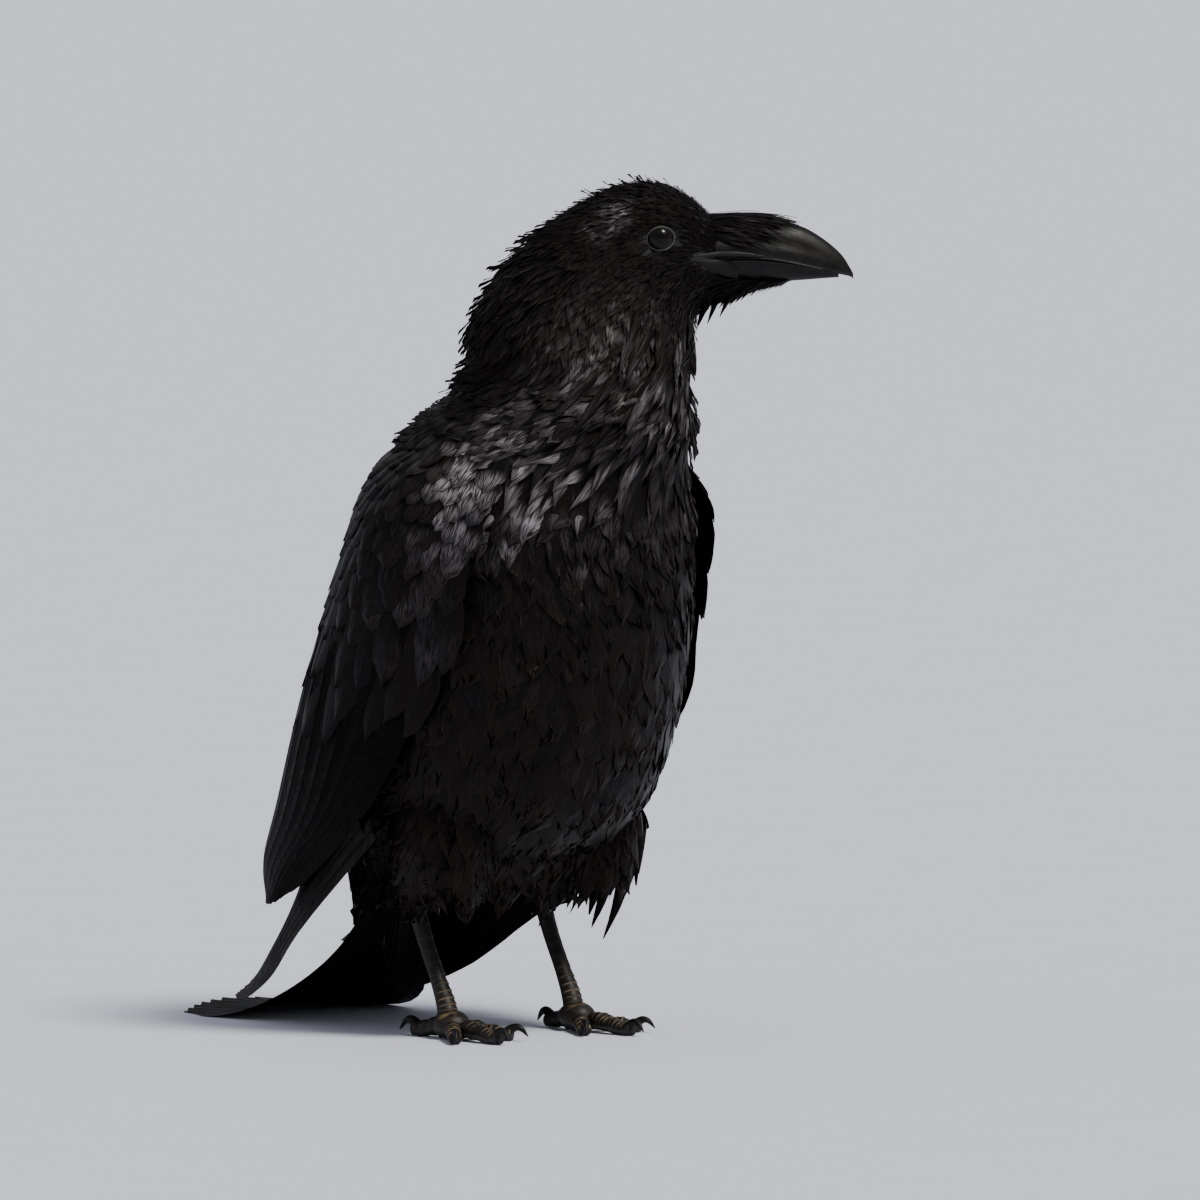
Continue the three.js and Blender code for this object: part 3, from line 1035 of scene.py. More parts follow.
@dataclass(frozen=True)
class Tract:
    """One region of contour feathers between two sections and two angles.

    Attributes:
        name: What the region is called.
        rows: First and last section.
        turns: First and last angle, in half turns.
        length: Length of its feathers, millimetres.
        half: Their half width.
        spacing: Distance between rows.
        pitch: Distance between feathers of a row.
        depth: Height of the tips over the roots.
        vane: Shape of a vane.
        steps: Quads along a vane.
        across: Quads across a vane.
        spread: Chance turn, radians.
        stand: How far the ends stand out, millimetres.
        wear: Bleaching from 0 to 1.
        clump: How far neighbours turn together, radians.
    """

    name: str
    rows: tuple[float, float]
    turns: tuple[float, float]
    length: float
    half: float
    spacing: float
    pitch: float
    depth: float
    vane: Vane
    steps: int = 7
    across: int = 4
    spread: float = 0.12
    stand: float = 0.0
    wear: float = 0.3
    clump: float = 0.0


# x, y, z, reach and strength of the soft spots of painted highlight, most where the key
# light would catch the feathers; the two at x 74 and 75 paint light into the shade of the
# left wing's front edge
PAINTED_SHEEN_SPOTS = (
    (-66, -60, 266, 25, 2.7), (64, -62, 264, 18, 1.2), (-40, -92, 262, 20, 0.75),
    (-6, -104, 268, 24, 0.36), (24, -100, 250, 24, 0.31), (-24, -100, 238, 20, 0.3),
    (48, -86, 300, 22, 0.46), (44, -88, 324, 20, 0.36), (0, -80, 324, 28, 0.45),
    (-22, -70, 312, 18, 0.35), (26, -92, 300, 24, 0.5), (9, -65, 395, 6, 2.0),
    (46, -6, 395, 6, 1.6), (-2, -64, 388, 6, 0.9), (74, -50, 242, 24, 0.3),
    (75, -47, 206, 22, 0.2), (-88, -26, 205, 18, 0.25))
# the painted highlight share that every feather gets at least, before chance
PAINTED_SHEEN_FLOOR = 0.012


def painted_sheen_at(where: Array, rng: Chance) -> Array:
    """How much painted highlight feathers get at given places: a sum of soft spots.

    Each spot adds strength exp(-(distance / reach)^2), and chance scales the sum.

    Args:
        where: Places in design millimetres.
        rng: Seeded source of chance.

    Returns:
        Painted highlight share from 0 to 1.
    """
    total = np.full(where.shape[:-1], PAINTED_SHEEN_FLOOR)
    for x, y, z, reach, strength in PAINTED_SHEEN_SPOTS:
        total = total + strength * bell(np.linalg.norm(where - np.array([x, y, z], float), axis=-1), 0, reach)
    # the painted highlight comes and goes in broad bands across the body
    patchy = 0.5 + 0.5 * np.sin(where[..., 0] * 0.34 + 2.4 * np.sin(where[..., 2] * 0.22))
    chance = (0.15 + 1.5 * rng.random(total.shape) ** 1.6) * (0.3 + 0.9 * patchy)
    return np.clip(total * chance, 0, 1)


@dataclass(frozen=True)
class BareGape:
    """The bare side of the bill's root, which deepens from the gape forward."""

    start: float = 86.5
    long: float = 20.0
    lip: float = 376.4
    line: float = 373.4
    drop: float = 10.2
    inner: float = -12.0

    def covers(self, reach: Array, beside: Array, height: Array) -> Array:
        """Whether places at a reach ahead, beside the eye and at a height lie on it."""
        low = self.line - self.drop * np.clip((reach - self.start) / self.long, 0, 1) ** 0.75
        return (height < self.lip) & (height > low) & (reach > self.start - 0.5) & (beside > self.inner)


@dataclass
class BodyCoat:
    """Contour feathers of head, neck and trunk, smallest on the face."""

    form: BodyForm
    eyes: tuple["Eye", ...] = ()
    gape: BareGape = BareGape()

    def roots(self, tract: Tract, rng: Chance) -> tuple[Array, Array]:
        """Staggered root places: rows along the sections, even steps round them.

        Args:
            tract: The region.
            rng: Seeded source of chance.

        Returns:
            Root stations and angles.
        """
        rows_a, rows_b = [], []
        low, high = (np.pi * t for t in tract.turns)
        middle = (low + high) / 2
        a, end = tract.rows
        while a < end:
            b = np.linspace(low, high, 60)
            here = self.form.point(np.full_like(b, a), b)
            run = np.concatenate([[0], np.cumsum(np.linalg.norm(np.diff(here, axis=0), axis=1))])
            count = max(2, int(run[-1] / tract.pitch))
            marks = (np.arange(count) + 0.5 * (len(rows_a) % 2) + 0.25) * run[-1] / count
            rows_b.append(np.interp(marks + rng.normal(0, 0.16 * tract.pitch, count), run, b))
            ahead = np.linalg.norm(self.form.point(a + 0.1, middle) - self.form.point(a, middle)) / 0.1
            step = tract.spacing / max(4.0, float(ahead))
            rows_a.append(a + rng.normal(0, 0.22 * step, count))
            a += step
        return np.concatenate(rows_a), np.concatenate(rows_b)

    def clear(self, path: Array) -> Array:
        """Which feathers, by their paths, stay off the lids and the bare gape.

        Args:
            path: Points of each feather's path.

        Returns:
            One truth value per feather.
        """
        keep = np.ones(len(path), bool)
        for eye in self.eyes:
            centre, ahead, out, up = eye.frame()
            away = path - centre
            reach, beside = away @ ahead, away @ out
            lid = (np.hypot(reach / eye.bare[0], away @ up / eye.bare[1]) < 1) & (beside > 0)
            keep &= ~(lid | self.gape.covers(reach + eye.reach, beside, path[..., 2])).any(1)
        return keep

    def lay(self, tract: Tract, rng: Chance) -> Laid:
        """Lays one tract's vanes.

        The lift along a vane goes from -depth at the root to just under the
        surface at the tip, plus a chance stand of the last half.

        Args:
            tract: The region.
            rng: Seeded source of chance.

        Returns:
            The batch and its roots on the unwrap.
        """
        a0, b0 = self.roots(tract, rng)
        vanes = Vanes(self.form, steps=tract.steps, across=tract.across)
        size = np.clip(rng.normal(1, 0.12, len(a0)), 0.7, 1.35)
        turn = rng.normal(0, tract.spread, len(a0))
        turn = turn + tract.clump * np.sin(a0 * 9 + 3 * np.sin(b0 * 7)) * np.cos(b0 * 11)
        a, b = vanes.flow(a0, b0, tract.length * size, turn)
        clear = self.clear(self.form.point(a, b))
        a, b, size, a0, b0 = (v[clear] for v in (a, b, size, a0, b0))
        count = len(a0)
        q = shares(tract.steps)
        stand = np.abs(rng.normal(0, tract.stand, (count, 1))) * np.clip((q - 0.5) * 2, 0, 1) ** 2
        lift = -tract.depth * (1 - q) ** 0.9 - 0.25 + stand + rng.normal(0, 0.25, (count, 1)) * q
        wear = np.clip(rng.normal(tract.wear, 0.25, count), 0, 1)
        # painted highlight share, taken near each vane's tip
        painted_sheen = painted_sheen_at(self.form.point(a[:, -2], b[:, -2]), rng)
        half = tract.half * size * rng.uniform(0.8, 1.2, count)
        log.info("%s: %d feathers", tract.name, count)
        return (vanes.lay(a, b, half, lift, rng, tract.vane, wear, painted_sheen),
                np.stack([(b0 / TURN) % 1.0, a0 / self.form.last], -1))


@dataclass
class BillForm(Surface):
    """Half of the bill: rows of reach, top, bottom and half width along the head's line.

    The upper half arches up over a flat underside, the lower arches down.
    """

    outward: float = -1.0
    arch: float = 1.0
    rows: Array = field(default_factory=lambda: np.array([
        (98.8, 394, 373.4, 12.4), (112, 393.2, 373.5, 11.4), (125, 391.4, 372.5, 9.9),
        (137, 388.6, 370.2, 8.1), (147.4, 382.6, 367.8, 6.1), (155.5, 375.6, 365.9, 3.7),
        (159.8, 369.2, 364.9, 1.9), (161.4, 366.2, 363.6, 0.7)], float))

    def point(self, a: Array, b: Array) -> Array:
        """Points at row a and angle b: 0 the left edge, pi/2 the ridge, pi the right.

        Args:
            a: Rows.
            b: Angles.

        Returns:
            Points in millimetres.
        """
        a, b = np.broadcast_arrays(np.asarray(a, float), np.asarray(b, float))
        reach, top, bottom, half = np.moveaxis(along(self.rows, a), -1, 0)
        flat, peak = (bottom, top) if self.arch > 0 else (top, bottom)
        rise = np.sign(np.sin(b)) * np.abs(np.sin(b)) ** 1.05
        wide = half * np.sign(np.cos(b)) * np.abs(np.cos(b)) ** 0.92
        return head_place(reach, wide, flat + (peak - flat) * rise)


# ------------------------------------------------------------------- the bird


@dataclass
class Toe:
    """One toe and its claw: bearing outward in degrees and sizes in millimetres."""

    bearing: float
    long: float
    root: float
    end: float
    claw: float
    joints: int

    def heading(self, side: Side) -> Array:
        """Level direction of the toe on one side of the bird."""
        b = math.radians(self.bearing)
        return np.array([side.value * math.sin(b), -math.cos(b), 0.0])

    def form(self, hub: Array, side: Side, reach: Array, rise: Array, radius: Array) -> TubeForm:
        """A tube down the toe's line, from reach ahead of the hub, height and radius.

        Args:
            hub: Where the toes meet.
            side: The bird's side.
            reach: Distances from the hub.
            rise: Heights.
            radius: Radii.

        Returns:
            The tube.
        """
        heading = self.heading(side)
        line = hub + heading * reach[:, None]
        return TubeForm(rows=np.column_stack([line[:, :2], rise, radius]),
                        zero=(float(-heading[1]), float(heading[0]), 0.0))

    def flesh(self, hub: Array, side: Side) -> TubeForm:
        """The toe: its radius swells at the pads as 1 + 0.09 cos(6 pi t).

        Args:
            hub: Where the toes meet.
            side: The bird's side.

        Returns:
            The tube.
        """
        t = np.linspace(0, 1, 46)
        radius = (self.root + (self.end - self.root) * t) * (1 + 0.09 * np.cos(6 * np.pi * t))
        rise = radius * 0.9 + 2.6 * np.sin(np.pi * np.minimum(1, 1.2 * t)) * (1 - t)
        return self.form(hub, side, 4 + (self.long - 4) * t, rise, radius)

    def horn(self, hub: Array, side: Side) -> TubeForm:
        """The curved claw, from inside the toe's end to its point.

        Args:
            hub: Where the toes meet.
            side: The bird's side.

        Returns:
            The tube.
        """
        t = np.linspace(0, 1, 22)
        reach = self.long - 3.4 + self.claw * (0.16 * t + 0.72 * np.sin(1.25 * t))
        rise = self.end * 1.05 + self.claw * (0.5 * np.sin(0.62 * np.pi * t) - 0.62 * t**2) * np.cos(
            np.radians(22 - 92 * t))
        radius = np.maximum(0.35, (self.end - 0.5) * (1 - t) ** 0.75)
        return self.form(hub, side, reach, np.maximum(rise, 0.45), radius)


@dataclass
class Leg:
    """Thigh, tarsus, foot and four toes of one side.

    Rows of thigh and tarsus are the offset out from the stance, y, z and radius.
    """

    side: Side
    stance: float = 38.0
    hub_y: float = 0.5
    thigh: tuple[tuple[float, ...], ...] = (
        (4, -4, 124, 24), (5, 2, 100, 26), (3, 14, 82, 19), (0, 25, 69, 11), (0, 29.5, 60, 6.2))
    tarsus: tuple[tuple[float, ...], ...] = (
        (0, 30, 66, 4.6), (0, 21, 46, 4.1), (0, 11.5, 29, 4.1), (0, 5.5, 18, 4.8), (0, 3, 11, 5.2))
    toes: tuple[Toe, ...] = (
        Toe(174, 25, 4.6, 3.5, 17, 3), Toe(-31, 31, 4.3, 3.2, 14, 5),
        Toe(3, 40, 4.6, 3.2, 14.5, 7), Toe(34, 32, 4.1, 3.0, 13, 6))

    @property
    def hub(self) -> Array:
        """The point where the toes meet, on the floor."""
        return np.array([self.side.value * self.stance, self.hub_y, 0.0])

    def tube(self, rows: tuple[tuple[float, ...], ...], inset: float = 0.0) -> TubeForm:
        """A tube through rows moved out to this side, `inset` millimetres inside.

        Args:
            rows: Rows of the leg.
            inset: Depth inside.

        Returns:
            The tube.
        """
        rows = np.array(rows, float)
        rows[:, 0] = self.side.value * (self.stance + rows[:, 0])
        rows[:, 3] -= inset
        return TubeForm(rows=rows)

    @staticmethod
    def scuted(form: TubeForm, rings: int, count: int, scutes: float, depth: float, face: float,
               bare: float, flat: bool = False) -> tuple[Array, Array]:
        """Rings of a tube whose scutes overlap like tiles.

        Each scute swells by depth u^2, u its share from 0 to 1, and drops back
        at its end; towards `face` it is full, behind it fades out.

        Args:
            form: The tube.
            rings: Rings along.
            count: Points round.
            scutes: Number of scutes.
            depth: Height of a scute's end, millimetres.
            face: Angle that the scutes face.
            bare: Share of the length before the scutes reach half their strength.
            flat: Whether the underside is flattened.

        Returns:
            Points, and the joint attribute: 1 in the grooves.
        """
        last = len(form.rows) - 1
        a, b = stations(last, rings), around(count)
        share = (a / last * scutes) % 1.0
        facing = smooth(0.5 + 0.75 * np.cos(b - face)) * (0.25 + 0.75 * smooth(0.5 + 2.2 * (a / last - bare)))
        _, _, normal = form.tangents(*np.broadcast_arrays(a, b))
        points = form.point(a, b) + normal * (depth * share**2 * facing - depth * 0.4)[..., None]
        if flat:
            points[..., 2] = np.maximum(points[..., 2], form.rows[:, 3].min() * 0.12)
        return points, facing * np.clip(smooth((share - 0.8) / 0.2) + smooth(1 - share / 0.16), 0, 1)


@dataclass
class Skin:
    """The one skin of head, body, legs and toes, closed and joined."""

    builder: Builder
    body: BodyForm
    legs: tuple[Leg, Leg]
    eyes: tuple["Eye", ...]
    under: Material
    scales: Material
    leg_top: float = 0.075  # metres; the grooves lie under this height
    sources: list[tuple[Array, Array]] = field(default_factory=list)

    def closed(self, points: Array, material: int) -> Object:
        """Makes a closed tube object from rings, with a fan at each end.

        Args:
            points: Rings by points by 3, in design millimetres.
            material: Index of its material.

        Returns:
            A working object.
        """
        rings, count, _ = points.shape
        flat = np.vstack([points.reshape(-1, 3), points[0].mean(0), points[-1].mean(0)])
        j = np.arange(count)
        k = (j + 1) % count
        end = (rings - 1) * count
        first = np.stack([np.full(count, rings * count), k, j], -1)
        last = np.stack([np.full(count, rings * count + 1), end + j, end + k], -1)
        faces = grid_faces(rings, count, wrap=True).tolist() + first.tolist() + last.tolist()
        mesh = bpy.data.meshes.new("working")
        mesh.from_pydata(self.builder.place.metres(flat), [], faces)
        mesh.polygons.foreach_set("material_index", np.full(len(faces), material, dtype=np.int32))
        mesh.materials.append(self.under)
        mesh.materials.append(self.scales)
        work = bmesh.new()
        work.from_mesh(mesh)
        bmesh.ops.recalc_face_normals(work, faces=work.faces)
        work.to_mesh(mesh)
        work.free()
        obj = bpy.data.objects.new("working", mesh)
        bpy.context.scene.collection.objects.link(obj)
        return obj

    def body_rings(self) -> Array:
        """The body inset by the coat's depth, 1.5 mm at the face to 6 mm at the trunk.

        Round each eye it sinks by 3.2 mm more, fading out at 10.5 mm.

        Returns:
            Rings by points by 3.
        """
        a = stations(self.body.last, 7 * self.body.last + 1)
        points = self.body.point(a, around(110), 1.5 + 4.5 * smooth((a - 2.5) / 8.0))
        for eye in self.eyes:
            centre, ahead, out, up = eye.frame()
            away = points - centre
            near = 1 - smooth(np.hypot(away @ ahead, away @ up) / 10.5)
            points = points - out * (3.2 * near * (away @ out > 0))[..., None]
        return points

    def leg_parts(self, leg: Leg) -> list[Object]:
        """Thigh, scuted shank, hub and scuted toes of one leg, as working objects.

        Args:
            leg: The leg.

        Returns:
            The working objects.
        """
        thigh = leg.tube(leg.thigh, 4.0)
        thigh.rows[-1, 3] = 5.6
        # the shank's front is at a quarter turn
        self.sources.append(leg.scuted(leg.tube(leg.tarsus), 145, 36, 12, 0.6, np.pi / 2, 0.55))
        t, b = stations(np.pi, 16), around(24)
        ball = packed(leg.hub[0] + 8.6 * np.sin(t) * np.cos(b), leg.hub[1] + 10.0 * np.sin(t) * np.sin(b),
                      7.2 - 7.0 * np.cos(t))
        parts = [self.closed(thigh.grid(30, 28), 0), self.closed(self.sources[-1][0], 1),
                 self.closed(ball[1:-1], 1)]
        for toe in leg.toes:
            form = toe.flesh(leg.hub, leg.side)
            quarter = np.pi / 2 if form.point(5, np.pi / 2)[2] > form.point(5, 0)[2] else -np.pi / 2
            self.sources.append(leg.scuted(form, 14 * toe.joints + 1, 22, toe.joints * 2.2, 0.5, quarter,
                                           0.3, flat=True))
            parts.append(self.closed(self.sources[-1][0], 1))
        return parts

    def carry(self, mesh: bpy.types.Mesh) -> None:
        """Gives each point of the joined mesh the groove value of the nearest tube point.

        The nearest is where |s|^2 - 2 p.s is least, in blocks of 600 points.

        Args:
            mesh: The joined mesh.
        """
        spots = self.builder.place.metres(np.concatenate([p.reshape(-1, 3) for p, _ in self.sources]))
        values = np.concatenate([j.ravel() for _, j in self.sources])
        own = np.zeros(len(mesh.vertices) * 3, np.float32)
        mesh.vertices.foreach_get("co", own)
        own = own.reshape(-1, 3)
        out = np.zeros(len(own), np.float32)
        low = np.flatnonzero(own[:, 2] < self.leg_top)
        squares = (spots**2).sum(1)
        for block in np.array_split(low, max(1, len(low) // 600)):
            out[block] = values[(squares - 2 * own[block] @ spots.T).argmin(1)]
        mesh.attributes.new("joint", "FLOAT", "POINT").data.foreach_set("value", out)

    def make(self) -> Object:
        """Joins all parts by exact union and smooths the result's shading.

        Returns:
            The object.
        """
        parts = [self.closed(self.body_rings(), 0)]
        for leg in self.legs:
            parts += self.leg_parts(leg)
        skin = parts[0]
        for other in parts[1:]:
            step = skin.modifiers.new("join", "BOOLEAN")
            step.operation = "UNION"
            step.solver = "EXACT"
            step.object = other
        graph = bpy.context.evaluated_depsgraph_get()
        mesh = bpy.data.meshes.new_from_object(skin.evaluated_get(graph), depsgraph=graph)
        for part in parts:
            old = part.data
            bpy.data.objects.remove(part)
            bpy.data.meshes.remove(old)
        mesh.name = "skin"
        self.carry(mesh)
        mesh.polygons.foreach_set("use_smooth", np.ones(len(mesh.polygons), bool))
        obj = bpy.data.objects.new("skin", mesh)
        bpy.context.scene.collection.objects.link(obj)
        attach(obj, self.builder.body)
        names = ["head", "neck", "trunk"]
        for side in ("left", "right"):
            names += [f"thigh_{side}", f"tarsus_{side}", f"foot_{side}"]
            names += [f"toe_{side}_{n}" for n in range(1, 5)]
        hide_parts(*names)
        log.info("skin: %d faces", len(mesh.polygons))
        return obj


@dataclass
class Claws:
    """The curved claws, each replacing its solid."""

    builder: Builder
    horn: Material

    def make(self, leg: Leg) -> None:
        """Makes the four claws of one leg.

        Args:
            leg: The leg.
        """
        word = leg.side.word
        for number, toe in enumerate(leg.toes, 1):
            form = toe.horn(leg.hub, leg.side)
            obj = self.builder.tube(f"claw_{word}_{number}_horn", form.grid(40, 16), self.horn, "claw_horn",
                                    form.lane(40, 16))
            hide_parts(f"claw_{word}_{number}")


@dataclass
class Bill:
    """Both halves of the bill in horn, with the bare edges that run back to the gape."""

    builder: Builder
    horn: Material
    upper: BillForm
    lower: BillForm

    def half(self, form: BillForm, name: str, node: str) -> Object:
        """One half: an arched grid closed by a hollowed flat side.

        Args:
            form: The half's surface.
            name: The piece's name.
            node: The solid that it replaces.

        Returns:
            The object.
        """
        rings, count = 90, 49
        a, b = stations(len(form.rows) - 1, rings, -0.7), np.linspace(0, np.pi, count)[None, :]
        arch = form.point(a, b)
        if form.arch > 0:
            # a ledge over the cutting edge with a groove above it, fading to the tip
            ledge = 0.5 * bell(np.sin(b), 0.24, 0.12) - 0.3 * bell(np.sin(b), 0.5, 0.12)
            fade = 1 - smooth((a - 2.2) / 2.6)
            arch = arch + head_axes()[1] * (np.sign(np.cos(b)) * ledge * fade)[..., None]
        flat = form.point(a, np.zeros((1, 1)))[..., 2]
        inner = arch[:, ::-1].copy()
        inner[..., 2] = flat + 1.26 * form.arch * np.sin(b)
        points = np.concatenate([arch, inner[:, 1:-1]], 1)
        span = stations(1, rings)
        edge = 0.55 * bell(np.abs(points[..., 2] - flat), 0.8, 0.7) + 0.3 * smooth((span - 0.86) / 0.14)
        obj = self.builder.tube(name, points, self.horn, "bill_horn",
                                packed(span, np.arange(points.shape[1]) / count, edge))
        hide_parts(node)
        return obj

    def flange(self, side: Side) -> None:
        """A soft ridge along the gape, from under the eye into the upper half's edge.

        Args:
            side: The bird's side.
        """
        t = np.linspace(0, 1, 30)
        reach = 85 + 34 * t
        wide = np.interp(reach, [85, 90, 97, 104, 119], [18.2, 15.4, 13.0, 12.3, 10.6])
        line = head_place(reach, side.value * wide, 374.6 + 1.4 * np.sin(np.pi * t))
        radius = 0.25 + 1.15 * np.sin(np.pi * np.clip(t * 0.9 + 0.08, 0, 1)) ** 0.7
        form = TubeForm(rows=np.column_stack([line, radius]), zero=(0.0, 0.0, 1.0))
        self.builder.tube(f"gape_{side.word}_flange", form.grid(60, 14), self.horn, "bill_horn",
                          form.lane(60, 14, 0.35))

    def wedge(self, side: Side) -> None:
        """The lower half's bare side, which runs back to a point at the gape.

        Args:
            side: The bird's side.
        """
        rows, columns = 26, 12
        t, v = np.meshgrid(np.linspace(0, 1, rows), np.linspace(0, 1, columns), indexing="ij")
        reach = 84.5 + 22 * t
        wide = np.interp(reach, [84, 88, 93, 99, 106], [20.0, 17.6, 14.7, 12.1, 11.0])
        # the sheet bows out by 0.7 mm and tucks in at its rims
        bow = 0.7 * np.sin(np.pi * np.clip(v * 1.05, 0, 1)) ** 0.6 - 0.9 * v**3
        bow = bow - 0.8 * (1 - smooth(t / 0.15)) - 1.6 * smooth((t - 0.55) / 0.45)
        points = head_place(reach, side.value * (wide + bow), 373.1 - 10.2 * t**0.8 * v)
        lane = packed(0.2 + 0.2 * t, v * 0.3, 0.25 * bell(v, 0.1, 0.1))
        self.builder.piece(f"gape_{side.word}_wedge", points, grid_faces(rows, columns)[:, :: -side.value],
                           self.horn, "bill_horn", {"lane": lane})

    def make(self) -> None:
        """Makes upper and lower halves and both sides of the gape."""
        self.half(self.upper, "bill_upper_horn", "bill_upper")
        self.half(self.lower, "bill_lower_horn", "bill_lower")
        for side in Side:
            self.flange(side)
            self.wedge(side)


@dataclass
class Eye:
    """One eye with its beaded lid rim, set in the side of the head."""

    builder: Builder
    side: Side
    ball: Material
    lid: Material
    reach: float = 69.2
    height: float = 383.4
    radius: float = 7.3
    depth: float = 20.0
    lid_half: tuple[float, float] = (6.5, 5.5)
    bare: tuple[float, float] = (6.7, 5.8)
    tilt: float = 0.16
    beads: int = 34

    def frame(self) -> tuple[Array, Array, Array, Array]:
        """Centre, ahead, outward and up directions of the eye.

        Returns:
            A place and three directions of length 1.
        """
        ahead, left = head_axes()
        out = left * self.side.value
        centre = head_place(self.reach, self.side.value * self.depth, self.height)
        out = unit(out + ahead * 0.10)
        return centre, unit(ahead - out * (ahead @ out)), out, UP

    def make_ball(self) -> None:
        """Makes the ball, its lane running out from the pupil."""
        centre, ahead, out, up = self.frame()
        t, b = stations(np.pi, 40), around(48)
        turned = ahead * (np.sin(t) * np.cos(b))[..., None] + up * (np.sin(t) * np.sin(b))[..., None]
        obj = self.builder.tube(f"eye_{self.side.word}_ball",
                                centre + self.radius * (out * np.cos(t)[..., None] + turned),
                                self.ball, "eye", packed(t / np.pi * 2, b, t))
        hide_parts(f"eye_{self.side.word}")

    def make_rim(self) -> None:
        """Makes the lid's beaded ring, a thin tube that lies on the ball."""
        centre, ahead, out, up = self.frame()
        rings, count = 180, 14
        u, v = around(rings).T, around(count)
        flat_x, flat_z = self.lid_half[0] * np.cos(u), self.lid_half[1] * np.sin(u)
        px = flat_x * math.cos(self.tilt) - flat_z * math.sin(self.tilt)
        pz = flat_x * math.sin(self.tilt) + flat_z * math.cos(self.tilt)
        high = np.sqrt(np.maximum(self.radius**2 - px**2 - pz**2, 4.0))
        bead = 0.5 + 0.5 * np.cos(u * self.beads)
        thick = 0.34 + 0.16 * bead
        level = ahead * px[..., None] + up * pz[..., None]
        ring = centre + level + out * high[..., None] + out * (thick * np.sin(v))[..., None]
        ring = ring + unit(level) * (1.15 * thick * np.cos(v))[..., None]
        faces = grid_faces(rings + 1, count, wrap=True) % (rings * count)
        self.builder.piece(f"lid_{self.side.word}_rim", ring, faces[:, :: self.side.value], self.lid,
                           "plumage", {"lane": packed(bead, u, v)})

    def make(self) -> None:
        """Makes the ball and the lid's rim."""
        self.make_ball()
        self.make_rim()


@dataclass(frozen=True)
class CovertRow:
    """One group of wing coverts: where it lies, its counts and its feathers' sizes."""

    ribs: tuple[float, float]
    across: tuple[float, float]
    rows: int
    each: int
    length: float
    half: float
    depth: float
    tip: Tip = Tip.ROUND
    over: float = 0.0

    def roots(self, rng: Chance) -> tuple[Array, Array]:
        """Staggered root places, in ribs and shares across.

        Args:
            rng: Seeded source of chance.

        Returns:
            Ribs and shares across of the roots.
        """
        i, j = np.meshgrid(np.arange(self.rows), np.arange(self.each), indexing="ij")
        wide_a, wide_b = self.ribs[1] - self.ribs[0], self.across[1] - self.across[0]
        a = self.ribs[0] + wide_a * (i + 0.5) / self.rows
        b = self.across[0] + wide_b * (j + 0.25 + 0.5 * (i % 2)) / self.each
        a = a + rng.normal(0, 0.12 * wide_a / self.rows, a.shape)
        b = b + rng.normal(0, 0.12 * wide_b / self.each, b.shape)
        return a.ravel(), b.ravel()


# lesser, median and greater coverts, then the scapulars over the back edge
COVERTS = (
    CovertRow((-0.35, 1.3), (-0.18, 2.85), 8, 12, 24, 7.4, 2.6),
    CovertRow((0.9, 2.1), (-0.15, 2.8), 4, 11, 36, 9.2, 3.0),
    CovertRow((1.9, 2.7), (-0.15, 2.8), 2, 11, 54, 9.6, 2.6, Tip.OVAL),
    CovertRow((-0.3, 2.0), (1.7, 2.75), 6, 5, 46, 12.0, 3.0, over=0.4))
# ribs where the primaries end, from the innermost out
PRIMARY_ENDS = np.array([2.0, 2.5, 2.9, 3.2, 3.45, 3.65, 3.82, 3.97])


